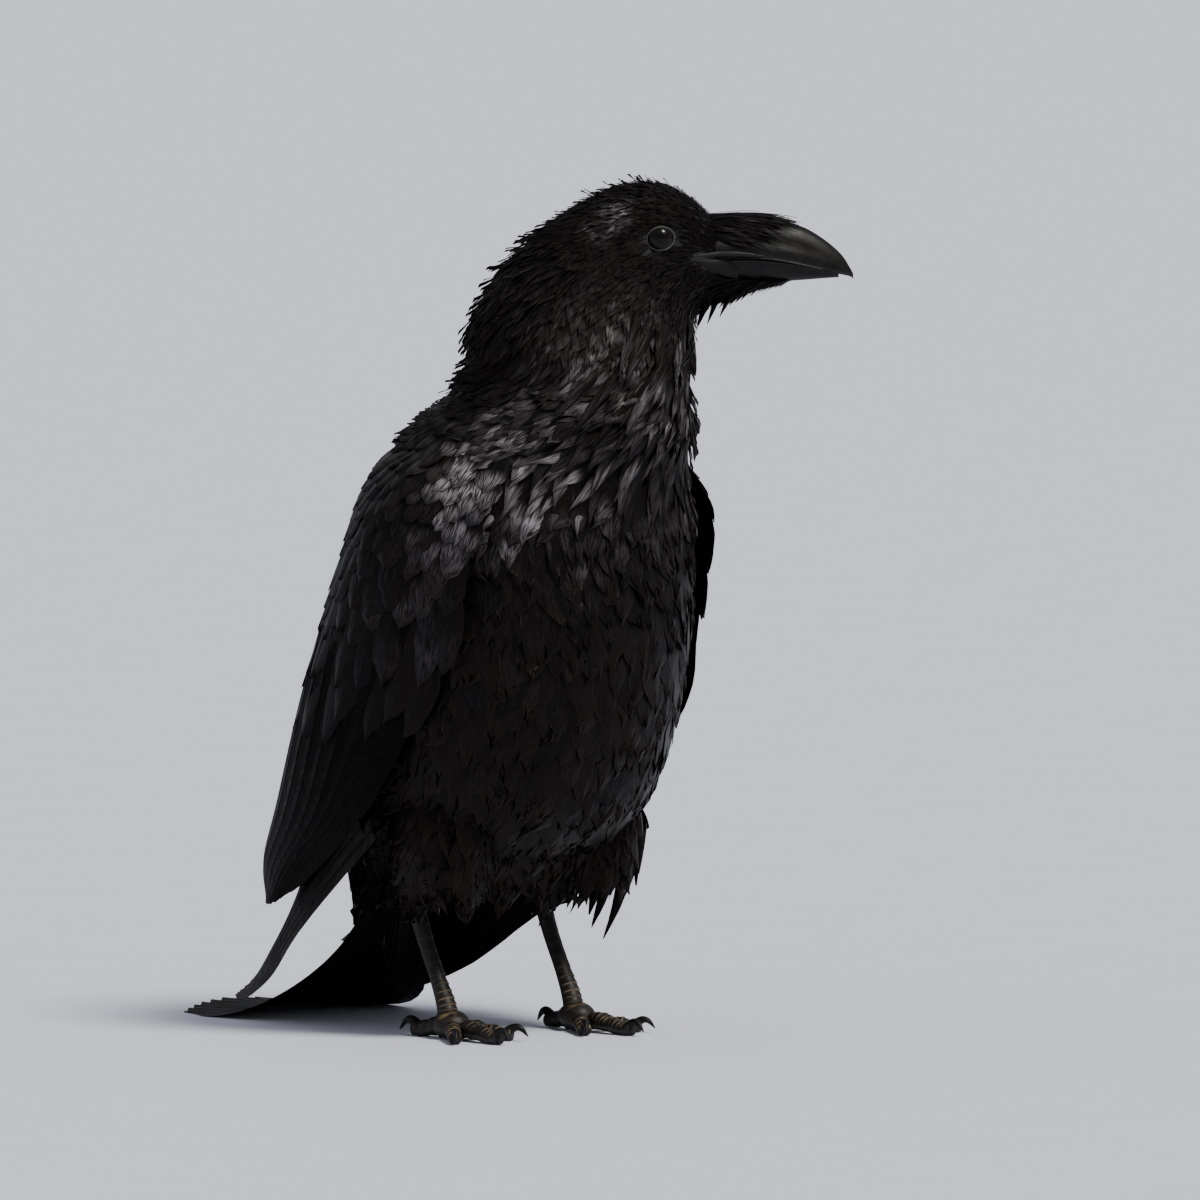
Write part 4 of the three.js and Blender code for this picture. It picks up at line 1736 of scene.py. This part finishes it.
@dataclass
class WingFeathers:
    """Folded wing of one side: coverts, scapulars, secondaries and primaries."""

    coat: Coat
    side: Side
    feather: Material
    quill: Material
    blade: RibForm
    hand: RibForm
    secondaries: int = 13

    def covert(self, row: CovertRow, rng: Chance) -> Laid:
        """Lays one group of coverts on the blade.

        Args:
            row: The group.
            rng: Seeded source of chance.

        Returns:
            The batch and its roots on the unwrap.
        """
        vane = Vane(row.tip, root=0.5, camber=0.16, roll=0.07, ragged=0.05, jag=0.12, fray=0.06)
        a0, b0 = row.roots(rng)
        count = len(a0)
        size = np.clip(rng.normal(1, 0.08, count), 0.8, 1.2)
        lift = -row.depth * (1 - shares(8)) ** 0.9 - 0.2 + row.over + rng.normal(0, 0.15, (count, 1))
        wear = np.clip(rng.normal(0.3, 0.2, count), 0, 1)
        turn = rng.normal(0, 0.07, count)
        # painted highlight share, taken along each covert
        painted_sheen = painted_sheen_at(self.blade.point(a0 + 0.5, b0), rng)
        vanes = Vanes(self.blade, steps=8, across=6)
        a, b = vanes.flow(a0, b0, row.length * size, turn)
        return (vanes.lay(a, b, row.half * size, lift, rng, vane, wear, painted_sheen),
                np.stack([0.02 + 0.3 * b0 / 3, np.clip(a0 / 7, 0, 1)], -1))

    def blades(self, form: RibForm, paths: tuple[Array, Array], half: Array, lift: Array, wear: Array,
               vane: Vane, rng: Chance) -> dict[str, Array]:
        """Lays shafted feathers, each path running from its first place to its last.

        Args:
            form: The surface that they lie on.
            paths: Ribs and shares across, each as two columns: first and last.
            half: Half widths.
            lift: Heights, one row per feather.
            wear: Bleaching from 0 to 1.
            vane: The vanes' shape.
            rng: Seeded source of chance.

        Returns:
            The batch.
        """
        vanes = Vanes(form, steps=26, shafted=True)
        q = shares(vanes.steps)
        a, b = (path[:, :1] + (path[:, 1:] - path[:, :1]) * q for path in paths)
        return vanes.lay(a, b, half, lift + 0 * q, rng, vane, wear)

    def make(self, rng: Chance) -> None:
        """Makes coverts, secondaries and tertials on the blade, and primaries on the hand.

        Args:
            rng: Seeded source of chance.
        """
        word = self.side.word
        laid = [self.covert(row, rng) for row in COVERTS]
        obj = self.coat.piece(f"wing_coverts_{word}", laid, self.feather)
        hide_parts(f"wing_{word}")

        place = np.linspace(0, 1, self.secondaries)
        a0, b0 = 2.35 + 0.25 * place, 0.12 + 2.72 * place
        end = 5.75 + 0.28 * np.sin(place * np.pi) - 0.9 * smooth((place - 0.7) / 0.3)
        vane = Vane(widest=0.72, root=0.6, camber=0.09, roll=0.0, ragged=0.015, lean=0.1, jag=0.04)
        lift = -1.6 + 2.0 * place[:, None] - 0.9 * (1 - shares(26))
        batch = self.blades(self.blade, (np.stack([a0, end], 1), np.stack([b0, b0 + 0.12 * (1.4 - b0)], 1)),
                            9.5 + 2.5 * smooth((place - 0.6) / 0.4), lift,
                            rng.uniform(0.2, 0.6, place.size), vane, rng)
        root = np.stack([0.4 + 0.2 * place, np.full(place.size, 0.4)], -1)
        obj = self.coat.piece(f"secondaries_{word}_vanes", [(batch, root)], self.quill, "flight_feathers")
        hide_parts(f"secondaries_{word}")

        place = np.linspace(0, 1, PRIMARY_ENDS.size)
        vane = Vane(Tip.OVAL, widest=0.62, root=0.7, camber=0.08, roll=0.0, ragged=0.012, lean=0.25, jag=0.03)
        batch = self.blades(self.hand, (np.stack([np.full(place.size, -0.35), PRIMARY_ENDS], 1),
                                        np.stack([2.7 - 3.6 * place, 2.5 - 1.9 * place], 1)),
                            10.5 - 2.0 * place, 0.2 - 2.4 * place[:, None],
                            rng.uniform(0.4, 0.8, place.size), vane, rng)
        root = np.stack([0.7 + 0.2 * place, np.full(place.size, 0.6)], -1)
        obj = self.coat.piece(f"primaries_{word}_vanes", [(batch, root)], self.quill, "flight_feathers")
        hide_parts(f"primaries_{word}")


@dataclass
class TailFeathers:
    """Twelve rectrices, the middle pair on top and longest."""

    coat: Coat
    feather: Material
    form: TailForm = field(default_factory=TailForm)

    def make(self, rng: Chance) -> None:
        """Makes the rectrices; each end drops back towards the outer pair.

        Args:
            rng: Seeded source of chance.
        """
        pairs = np.arange(5.5, 0, -1)
        place = np.stack([-pairs, pairs], 1).ravel() / 6
        outer = np.abs(place)[:, None]
        vanes = Vanes(self.form, steps=28, shafted=True)
        q = shares(vanes.steps)
        a = 0.1 + (4.97 - 0.75 * outer**1.6 - 0.1) * q
        b = place[:, None] * (0.55 + 0.34 * smooth(q * 1.3))
        lift = np.maximum(1.5 - 2.2 * outer + 0.8 * q, 0.1)
        wear = rng.uniform(0.3, 0.7, place.size)
        laid = vanes.lay(a, b, np.full(place.size, 11.5), lift, rng, Vane(
            widest=0.8, root=0.5, camber=0.05, roll=0.0, ragged=0.012, jag=0.03), wear)
        root = np.stack([0.1 + 0.8 * (place + 1) / 2, np.full(place.size, 0.9)], -1)
        obj = self.coat.piece("tail_vanes", [(laid, root)], self.feather, "flight_feathers")
        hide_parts("tail")


@dataclass(frozen=True)
class Lock:
    """A bundle of narrow feathers that hangs together, as a slim cone.

    The cone's middle line runs root + (tip - root) t, bent out by `bend` at
    half way; its radius is `thick` times 1, 0.95, 0.7, 0.4 and 0.1.
    """

    root: tuple[float, float, float]
    tip: tuple[float, float, float]
    thick: float
    count: int
    half: float
    bend: tuple[float, float, float] = (0.0, 0.0, 0.0)
    # painted highlight share of the lock's vanes
    painted_sheen: float = 0.0

    def lay(self, rng: Chance) -> Laid:
        """Vanes down the cone, their ends spread over its lower half.

        Args:
            rng: Seeded source of chance.

        Returns:
            The batch and its roots on the unwrap.
        """
        t = np.array([-0.3, 0.1, 0.45, 0.75, 1.0])[:, None]
        thick = self.thick * np.array([1.0, 0.95, 0.7, 0.4, 0.1])
        root, tip, bend = (np.array(v, float) for v in (self.root, self.tip, self.bend))
        line = root + (tip - root) * t + bend * (1 - (2 * t - 1) ** 2)
        vanes = Vanes(TubeForm(rows=np.column_stack([line, thick])), steps=6, across=2)
        a0, b0 = rng.uniform(0, 2.2, self.count), rng.uniform(0, TURN, self.count)
        long = np.linalg.norm(line[-1] - line[0]) * (1 - a0 / 4.4) * rng.uniform(0.7, 1.0, self.count)
        a, b = vanes.flow(a0, b0, long, rng.normal(0, 0.05, self.count))
        half = self.half * rng.uniform(0.7, 1.2, self.count)
        painted_sheen = self.painted_sheen * rng.uniform(0.2, 1.4, self.count)
        laid = vanes.lay(np.minimum(a, 4.1), b, half, -0.5 * (1 - shares(6)), rng, Vane(
            Tip.POINTED, widest=0.35, jag=0.3, camber=0.3), 0.35, painted_sheen)
        return laid, tuft_roots(a0, b0)


def tuft_roots(a0: Array, b0: Array) -> Array:
    """Places on the bake map's last strip, by station and angle round a leg or lock."""
    return np.stack([(b0 / TURN) % 1, 0.8 + 0.04 * a0], -1)


# shapes of the contour feathers, from the face's down to the belly's loose vanes
DOWNY = Vane(Tip.POINTED, jag=0.15, fray=0.12)
NARROW = Vane(Tip.POINTED, jag=0.3, fray=0.12)
HACKLE = Vane(Tip.POINTED, jag=0.35, fray=0.12)
NECK = Vane(Tip.OVAL, jag=0.2, fray=0.12)
SHOULDER = Vane(Tip.OVAL, jag=0.3, fray=0.2)
FRONT = Vane(Tip.OVAL, camber=0.07, jag=0.35, fray=0.2)
BREAST = Vane(Tip.OVAL, camber=0.05, jag=0.3, fray=0.2)
BELLY = Vane(Tip.OVAL, camber=0.06, ragged=0.12, jag=0.4, fray=0.24)
VENT = Vane(Tip.OVAL, camber=0.08, ragged=0.16, jag=0.5, fray=0.3)
HEMMED = Vane(Tip.OVAL, camber=0.06, ragged=0.16, jag=0.5, fray=0.35)
MANTLE = Vane(Tip.ROUND, jag=0.15, fray=0.12)
# The regions by piece; lengths grow from the face to the belly. Columns: name, sections, half
# turns, length, half width, spacing, pitch, depth, vane, steps, across, spread, stand, wear, clump
TRACTS = {
    "face_coat": (
        Tract("face", (-0.75, 1.7), (-1, 1), 8, 0.8, 1.7, 1.45, 1.0, DOWNY, 4, 2, 0.16, 0.4),
        Tract("crown", (1.2, 4.4), (0.6, 1.4), 12, 1.15, 2.1, 1.9, 1.5, DOWNY, 4, 2, 0.2, 0.7),
        Tract("crest", (0.6, 3.2), (0.84, 1.16), 12, 1.2, 3.4, 2.6, 0.6, DOWNY, 4, 2, 0.25, 2.0),
        Tract("left cheek", (1.5, 5.2), (0.2, 0.66), 11, 1.1, 2.1, 1.8, 1.4, DOWNY, 4, 2, 0.16, 0.5),
        Tract("right cheek", (1.5, 5.2), (1.34, 1.8), 11, 1.1, 2.1, 1.8, 1.4, DOWNY, 4, 2, 0.16, 0.5),
        Tract("chin", (-0.4, 2.8), (-0.3, 0.3), 16, 0.9, 2.2, 1.6, 1.2, DOWNY, 5, 2, 0.15, 1.2)),
    "head_coat": (
        Tract("nape", (3.8, 7.8), (0.6, 1.4), 25, 2.6, 4.4, 3.4, 2.4, NARROW, 5, 4, 0.16, 2.0),
        Tract("left ear", (4.6, 7.8), (0.3, 0.62), 18, 2.4, 3.6, 3.2, 2.2, NARROW, 5, 2, 0.14, 0.7),
        Tract("right ear", (4.6, 7.8), (1.38, 1.7), 18, 2.4, 3.6, 3.2, 2.2, NARROW, 5, 2, 0.14, 0.7)),
    "hackles_coat": (
        Tract("gorget", (2.4, 5.0), (-0.3, 0.3), 24, 1.9, 6.0, 2.8, 2.6, HACKLE, 7, 4, 0.14, 0.9, 0.15),
        Tract("hackles", (4.8, 8.4), (-0.4, 0.4), 34, 2.9, 9.5, 4.0, 3.8, HACKLE, 8, 4, 0.12, 1.3, 0.15, 0.3),
        Tract("throat", (7.8, 10.4), (-0.42, 0.44), 38, 4.0, 10.5, 5.2, 4.2, HACKLE, 8, 4,
              0.12, 1.4, 0.2, 0.3)),
    "neck_coat": (
        Tract("neck", (7.4, 10.2), (0.36, 1.64), 25, 4.2, 5.4, 5.2, 3.4, NECK, 6, 4, 0.14, 1.0),
        Tract("shoulders", (9.6, 11.0), (0.4, 1.6), 32, 6.4, 6.8, 7.0, 4.2, SHOULDER, 7, 6, 0.18, 1.0)),
    "breast_coat": (
        Tract("upper breast", (10.0, 11.6), (-0.62, 0.62), 36, 7.4, 8.4, 7.6, 2.9, FRONT, 7, 6, 0.18, 0.6),
        Tract("breast", (11.4, 13.2), (-0.62, 0.62), 42, 9.4, 10.0, 9.2, 2.4, BREAST, 7, 6, 0.16, 0.4, 0.45)),
    "belly_coat": (
        Tract("belly", (13.0, 15.2), (-0.64, 0.64), 46, 9.6, 10.5, 9.4, 2.6, BELLY, 7, 6, 0.2, 0.7, 0.5),
        Tract("vent", (15.0, 16.6), (-1, 1), 46, 7.2, 7.8, 7.2, 3.0, VENT, 7, 6, 0.22, 1.2, 0.5)),
    "mantle_coat": (
        Tract("mantle", (10.6, 15.2), (0.62, 1.38), 38, 9.4, 9.5, 9.0, 4.6, MANTLE, 7, 4, 0.12, 0.4),),
}
HEM_TRACT = Tract("hem", (0.15, 2.0), (-0.62, 0.62), 34, 6.4, 8.0, 7.0, 4.5, HEMMED, 7, 6, 0.2, 1.6, 0.85)
# the belly's loose lower edge, inside the belly at its first section
HEM = BodyForm(sections={
    "belly": (0, 0, 20, 76, 122, -22, 128, 66), "hem": (0, 0, 20, 60, 101, -20, 104, 63),
    "trousers": (0, 0, 20, 41, 82, -16, 84, 57), "end": (0, 0, 20, 24, 62, -12, 66, 48)})
# the left flank's tufts: root and tip in design millimetres, thickness, count, half width, bend
FLANK_LOCKS = (
    Lock((50.3, -11.4, 89), (42.7, -5.5, 51), 5.0, 30, 2.0, (1.5, -1.0, 0)),
    Lock((55.6, -15.5, 89), (47.2, -9.0, 45.6), 4.6, 30, 1.8, (2.0, -1.5, 0)),
    Lock((45.7, -7.8, 91), (38.5, -2.2, 66), 6.0, 30, 1.8),
    Lock((60.8, -19.6, 98), (59.3, -18.4, 71), 4.0, 22, 1.6),
    Lock((58.5, -17.8, 92), (51.4, -12.2, 58), 5.0, 26, 1.8, (1.5, -1.0, 0)),
    Lock((63.0, -8.0, 96), (60.0, -2.0, 64), 5.0, 22, 2.0),
    Lock((54.0, -2.0, 88), (50.0, 6.0, 56), 6.0, 26, 2.0))
SKIRT_ROWS = ((5, -8, 112, 27), (6, -4, 92, 27), (6, 0, 74, 25), (5, 3, 58, 24), (4, 5, 40, 23))


@dataclass(frozen=True)
class ThighBand:
    """A band of staggered tufts round the thigh, from one row of its tube to another."""

    start: float
    end: float
    rows: int
    each: int
    length: float
    half: float

    def lay(self, form: TubeForm, rng: Chance) -> Laid:
        """Lays the band's tufts down the thigh.

        Args:
            form: The thigh.
            rng: Seeded source of chance.

        Returns:
            The batch and its roots on the unwrap.
        """
        i, j = np.meshgrid(np.arange(self.rows), np.arange(self.each), indexing="ij")
        a0 = self.start + (self.end - self.start) * (i + 0.5) / self.rows + rng.normal(0, 0.06, i.shape)
        b0 = TURN * (j + 0.5 * (i % 2)) / self.each + rng.normal(0, 0.08, i.shape)
        a0, b0 = a0.ravel(), b0.ravel()
        count = len(a0)
        vanes = Vanes(form, steps=6, across=4)
        length = self.length * np.clip(rng.normal(1, 0.15, count), 0.6, 1.4)
        a, b = vanes.flow(a0, b0, length, rng.normal(0, 0.16, count))
        q = shares(6)
        lift = -2.6 * (1 - q) - 0.3 + np.abs(rng.normal(0, 1.5, (count, 1))) * q**2
        wear = np.clip(rng.normal(0.9, 0.2, count), 0, 1)
        return (vanes.lay(np.minimum(a, 4.3), b, np.full(count, self.half), lift, rng, Vane(
            Tip.OVAL, ragged=0.16, jag=0.5, fray=0.3), wear), tuft_roots(a0, b0))


@dataclass
class Plumage:
    """The contour coat of head, neck, trunk and thighs."""

    coat: Coat
    form: BodyForm
    feather: Material
    eyes: tuple[Eye, Eye]
    legs: tuple[Leg, Leg]
    bands: tuple[ThighBand, ...] = (
        ThighBand(-0.5, 2.6, 13, 26, 24, 4.4), ThighBand(2.2, 3.9, 11, 18, 14, 2.4))
    skirt_tufts: int = 190

    def make(self, rng: Chance) -> None:
        """Makes the contour pieces, then the thighs' tufts.

        Args:
            rng: Seeded source of chance.
        """
        maker = BodyCoat(self.form, self.eyes)
        for name, tracts in TRACTS.items():
            laid = [maker.lay(tract, rng) for tract in tracts]
            if name == "hackles_coat":
                laid += [lock.lay(rng) for lock in self.hackles(rng)]
            self.coat.piece(name, laid, self.feather)
        self.coat.piece("hem_coat", [BodyCoat(HEM).lay(HEM_TRACT, rng)], self.feather)
        for leg in self.legs:
            laid = [band.lay(leg.tube(leg.thigh), rng) for band in self.bands]
            laid.append(self.skirt(leg, rng))
            if leg.side is Side.LEFT:
                laid += [lock.lay(rng) for lock in FLANK_LOCKS]
            self.coat.piece(f"thigh_coat_{leg.side.word}", laid, self.feather)

    def hackles(self, rng: Chance) -> list[Lock]:
        """Pointed locks in two staggered rows round the front of the neck.

        Args:
            rng: Seeded source of chance.

        Returns:
            The locks.
        """
        locks = []
        for start, reach, count in ((5.3, 2.0, 11), (6.9, 2.5, 13)):
            for b in np.linspace(-0.38, 0.4, count) * np.pi + rng.normal(0, 0.05, count):
                a = start + rng.normal(0, 0.2)
                high = self.form.point(a, b, 5.0)
                low = self.form.point(a + reach * rng.uniform(0.8, 1.1), b + rng.normal(0, 0.07), -2.0)
                # painted highlight share for the lock, taken near its tip
                painted_shine = float(painted_sheen_at(self.form.point(a + reach * 0.8, b), rng))
                locks.append(Lock(tuple(high), tuple(low), rng.uniform(4.5, 6.5), 44, 2.2,
                                  painted_sheen=min(1.0, 1.2 * painted_shine)))
        return locks

    def skirt(self, leg: Leg, rng: Chance) -> Laid:
        """Loose tufts that hang at the front and the outside of one thigh.

        Args:
            leg: The leg.
            rng: Seeded source of chance.

        Returns:
            The batch and its roots on the unwrap.
        """
        count = self.skirt_tufts
        a0 = rng.uniform(-1.1, 1.5, count)
        # the left thigh's angles run on from the front, the right one's mirror them
        quarter = np.pi / 2
        b0 = quarter + (quarter - rng.uniform(-0.5, 1.7, count)) * -leg.side.value + quarter * leg.side.value
        vanes = Vanes(leg.tube(SKIRT_ROWS), steps=7, across=4)
        length = 28 * (1 - 0.2 * a0) * rng.uniform(0.6, 1.1, count)
        a, b = vanes.flow(a0, b0, length, rng.normal(0, 0.12, count))
        q = shares(7)
        lift = -5.0 * (1 - q) - rng.uniform(0, 5, (count, 1)) * q
        half = rng.uniform(2.5, 5.0, count)
        wear = np.clip(rng.normal(0.85, 0.2, count), 0, 1)
        return (vanes.lay(a, b, half, lift, rng, Vane(Tip.POINTED, ragged=0.2, jag=0.5, fray=0.2), wear),
                tuft_roots(a0, b0))


@dataclass
class NasalBristles:
    """Stiff bristles that lie forward over the bill's root."""

    coat: Coat
    form: BillForm
    feather: Material
    count: int = 520
    reach: float = 36.0

    def make(self, rng: Chance) -> None:
        """Lays the bristles; the longest lie along the ridge.

        Args:
            rng: Seeded source of chance.
        """
        ridge = np.pi / 2
        beside = rng.normal(0, 0.55, self.count).clip(-1.0, 1.0)
        a0 = rng.uniform(-0.55, 0.35, self.count)
        length = self.reach * (1 - 0.35 * np.abs(beside)) * rng.uniform(0.6, 1.0, self.count)
        vanes = Vanes(self.form, steps=7, across=2)
        a, b = vanes.flow(a0, ridge + beside, length, rng.normal(0, 0.12, self.count) - 0.25 * beside)
        q = shares(7)
        lift = 0.3 + rng.uniform(0.1, 1.8, (self.count, 1)) * np.sin(q * np.pi * 0.8)
        lift = lift + rng.exponential(0.7, (self.count, 1)) * q**2
        # a faint chance painted highlight on the bristles
        painted_sheen = rng.uniform(0, 0.35, self.count) ** 1.5
        laid = vanes.lay(a, b, np.full(self.count, 0.75), lift, rng, Vane(
            Tip.POINTED, widest=0.3, ragged=0.05, camber=0.3), 0.2, painted_sheen)
        root = np.stack([0.2 + 0.6 * (ridge + beside) / np.pi, np.full(self.count, 0.02)], -1)
        self.coat.piece("nasal_bristles", [(laid, root)], self.feather)


@dataclass
class ChinBeard:
    """Feathers that clothe the lower bill's root and hang as a ragged beard."""

    coat: Coat
    feather: Material
    form: BillForm = field(default_factory=lambda: BillForm(arch=-1.0, rows=np.array([
        (133, 367, 362.2, 4.6), (124, 369, 360.6, 8.2), (113, 370, 358.6, 10.3),
        (103, 371, 355.8, 12.2), (94, 372, 352.0, 14.0), (84, 372, 347.0, 16.0),
        (74, 372, 341.0, 18.0)], float)))
    # reach, side and height of the root, reach and height of the tip, thickness
    strands: tuple[tuple[float, ...], ...] = (
        (98, 0, 358, 92, 342.5, 2.4), (104, -2, 359, 98, 346, 2.2), (94, -4, 356, 88, 343, 2.4),
        (101, 4, 358, 94.5, 349, 2.2), (109, 2, 360, 102.5, 351, 2.0), (92, 5, 354, 87, 340, 2.4))
    count: int = 900
    wisps: int = 17

    def fringe(self, rng: Chance) -> Laid:
        """Short feathers along the bill's root.

        Args:
            rng: Seeded source of chance.

        Returns:
            The batch and its roots on the unwrap.
        """
        a0 = rng.uniform(0.0, 3.4, self.count)
        b0 = np.pi / 2 + rng.uniform(-0.9, 0.9, self.count) * (0.55 + 0.2 * a0)
        vanes = Vanes(self.form, steps=6, across=2)
        length = 10 * rng.uniform(0.6, 1.15, self.count)
        a, b = vanes.flow(a0, b0, length, rng.normal(0, 0.15, self.count))
        q = shares(6)
        lift = -0.8 * (1 - q) + np.abs(rng.normal(0, 1.2, (self.count, 1))) * q**1.5
        laid = vanes.lay(a, b, np.full(self.count, 0.7), lift, rng, Vane(Tip.POINTED, widest=0.3), 0.2)
        return laid, np.stack([0.2 + 0.6 * b0 / np.pi, 0.05 + 0.02 * a0], -1)

    def make(self, rng: Chance) -> None:
        """Lays the fringe, small wisps down the chin's line and the longer strands.

        Args:
            rng: Seeded source of chance.
        """
        laid = [self.fringe(rng)]
        for reach, z in zip(np.linspace(121, 88, self.wisps), np.linspace(363.5, 352, self.wisps)):
            drop, side = rng.uniform(4, 9), rng.uniform(-5, 5)
            laid.append(Lock(tuple(head_place(reach, side, z + 1)),
                             tuple(head_place(reach - drop * 0.9, side, z - drop)), 2.0, 12, 0.7).lay(rng))
        for reach, side, z, tip_reach, tip_z, thick in self.strands:
            laid.append(Lock(tuple(head_place(reach, side, z)), tuple(head_place(tip_reach, side, tip_z)),
                             thick, 18, 0.8).lay(rng))
        self.coat.piece("chin_beard", laid, self.feather)


# ---------------------------------------------------------------------- studio


@dataclass
class Studio:
    """Pale floor, light grey surroundings, a soft key and the camera."""

    place: Place
    azimuth: float = -38.0
    elevation: float = 3.0
    distance: float = 6.0
    frame_mm: float = 576.0
    centre_mm: tuple[float, float] = (40.8, 208.8)
    sensor_mm: float = 36.0
    floor_half: float = 400.0
    far: float = 1000.0

    def axes(self) -> tuple[Array, Array, Array]:
        """The camera's right, up and back directions.

        Returns:
            Three directions of length 1.
        """
        a, e = math.radians(self.azimuth), math.radians(self.elevation)
        right = np.array([math.cos(a), math.sin(a), 0.0])
        back = np.array([math.sin(a) * math.cos(e), -math.cos(a) * math.cos(e), math.sin(e)])
        return right, np.cross(back, right), back

    def camera(self) -> None:
        """Places the long lens so that the frame is `frame_mm` wide at the bird."""
        right, up, back = self.axes()
        middle = self.place.metres(right * self.centre_mm[0] + up * self.centre_mm[1])
        data = bpy.data.cameras.new("camera")
        data.sensor_width = self.sensor_mm
        data.lens = self.sensor_mm * self.distance / (self.frame_mm / 1000)
        data.clip_end = self.far
        obj = bpy.data.objects.new("camera", data)
        obj.matrix_world = Matrix.Translation(Vector(middle + back * self.distance)) @ Matrix(
            np.column_stack([right, up, back]).tolist()).to_4x4()
        bpy.context.scene.collection.objects.link(obj)
        bpy.context.scene.camera = obj

    def sun(self, name: str, toward: Array, power: float, spread: float, colour: str) -> None:
        """Adds a far, soft lamp.

        Args:
            name: Its name.
            toward: Direction from the bird to the lamp.
            power: Strength in watts per square metre.
            spread: Width of the lamp seen from the bird, in degrees.
            colour: Its hex colour.
        """
        data = bpy.data.lights.new(name, "SUN")
        data.energy = power
        data.angle = math.radians(spread)
        data.color = linear(colour)[:3]
        obj = bpy.data.objects.new(name, data)
        obj.matrix_world = Vector(unit(toward)).to_track_quat("Z", "Y").to_matrix().to_4x4()
        bpy.context.scene.collection.objects.link(obj)

    def floor(self) -> None:
        """A pale plain floor with a faint mottle."""
        made = Finish("studio_floor")
        colour = made.ramp(made.noise(made.place(), 14.0, 3.0), (0.3, "dce0ee"), (0.7, "dee2f0"))
        mesh = bpy.data.meshes.new("floor")
        half = self.floor_half
        mesh.from_pydata([(-half, -half, 0), (half, -half, 0), (half, half, 0), (-half, half, 0)],
                         [], [(0, 1, 2, 3)])
        mesh.materials.append(made.done(colour, 0.7, {}))
        obj = bpy.data.objects.new("floor", mesh)
        bpy.context.scene.collection.objects.link(obj)

    def world(self) -> None:
        """Even light grey surroundings."""
        world = bpy.data.worlds.new("studio")
        world.use_nodes = True
        tree = world.node_tree
        tree.nodes.clear()
        back = Finish.add_to(tree, "ShaderNodeBackground", {0: linear("d4d6de"), 1: 0.6})
        Finish.add_to(tree, "ShaderNodeOutputWorld", {"Surface": back.outputs[0]})
        bpy.context.scene.world = world

    def make(self) -> None:
        """Makes floor, world, lamp and camera."""
        right, up, back = self.axes()
        self.floor()
        self.world()
        self.sun("key", right * 0.5 + up * 1.0 + back * 0.6, 3.55, 16.0, "fffaf2")
        self.camera()


# each rib's four points on the right wing, front edge to back edge
WING_RIBS = np.array([
    ((-58, -54, 281), (-62, -22, 292), (-47, 8, 296), (-30, 30, 299)),
    ((-73, -56, 258), (-86, -14, 264), (-64, 32, 270), (-24, 62, 277)),
    ((-79, -47, 226), (-95, 2, 226), (-69, 47, 232), (-16, 82, 240)),
    ((-80, -32, 168), (-94, 22, 163), (-80, 64, 166), (-12, 105, 180)),
    ((-84, 10, 113), (-88, 50, 110), (-73, 93, 112), (-9, 121, 126)),
    ((-78, 60, 82), (-78, 86, 80), (-62, 118, 82), (-14, 132, 92)),
    ((-71, 94, 62), (-69, 108, 60), (-56, 123, 62), (-34, 132, 68))], float)
HAND_RIBS = np.array([
    ((-78, 40, 90), (-74, 58, 92), (-64, 78, 96), (-44, 98, 102)),
    ((-66, 90, 54), (-60, 100, 58), (-48, 110, 62), (-26, 119, 67)),
    ((-57, 123, 29), (-52, 130, 33), (-42, 137, 37), (-20, 143, 43)),
    ((-43, 160, 14), (-38, 164, 17), (-30, 168, 20), (-14, 171, 24)),
    ((-24, 198, 8), (-21, 201, 9), (-17, 203, 10), (-12, 203, 11))], float)
# the lower half of the bill: reach, top, bottom and half width
LOWER_ROWS = np.array([
    (99.6, 373.1, 360.2, 10.8), (112, 373.2, 361.6, 9.9), (125, 372.2, 362.4, 8.3),
    (137, 370.3, 363.1, 6.4), (147, 368.2, 363.9, 4.2), (154.5, 366.4, 364.4, 1.9)], float)


def main() -> None:
    """Builds the bird and its studio in order."""
    logging.basicConfig(level=logging.INFO, format="%(message)s")
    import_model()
    place = Place(ORIGIN)
    builder = Builder(place)
    rng = np.random.default_rng(SEED)
    feather = FeatherKeratin().make()
    quill = FeatherKeratin(name="black_quill", fresh="080809", roughness=0.5, level=0.03,
                           barb_mm=1.3, strands=1.0).make()
    body = BodyForm()
    legs = (Leg(Side.LEFT), Leg(Side.RIGHT))
    coat = Coat(builder)
    upper = BillForm()
    lower = BillForm(arch=-1.0, rows=LOWER_ROWS, outward=1.0)
    ball, lid = WetEye().make(), LidSkin().make()
    eyes = tuple(Eye(builder, side, ball, lid) for side in Side)
    Skin(builder, body, legs, eyes, BareSkin().make(), LegScales().make()).make()
    Bill(builder, Horn("bill_keratin").make(), upper, lower).make()
    claws = Claws(builder, Horn("claw_keratin", dark="0b0b0c", worn="2c2a28").make())
    for leg, eye in zip(legs, eyes):
        claws.make(leg)
        eye.make()
    for side in Side:
        blade, hand = (RibForm(outward=float(side.value), ribs=ribs, side=side)
                       for ribs in (WING_RIBS, HAND_RIBS))
        WingFeathers(coat, side, feather, quill, blade, hand).make(rng)
    TailFeathers(coat, quill).make(rng)
    Plumage(coat, body, feather, eyes, legs).make(rng)
    NasalBristles(coat, upper, feather).make(rng)
    ChinBeard(coat, feather).make(rng)
    Studio(place).make()


if __name__ == "__main__":
    main()
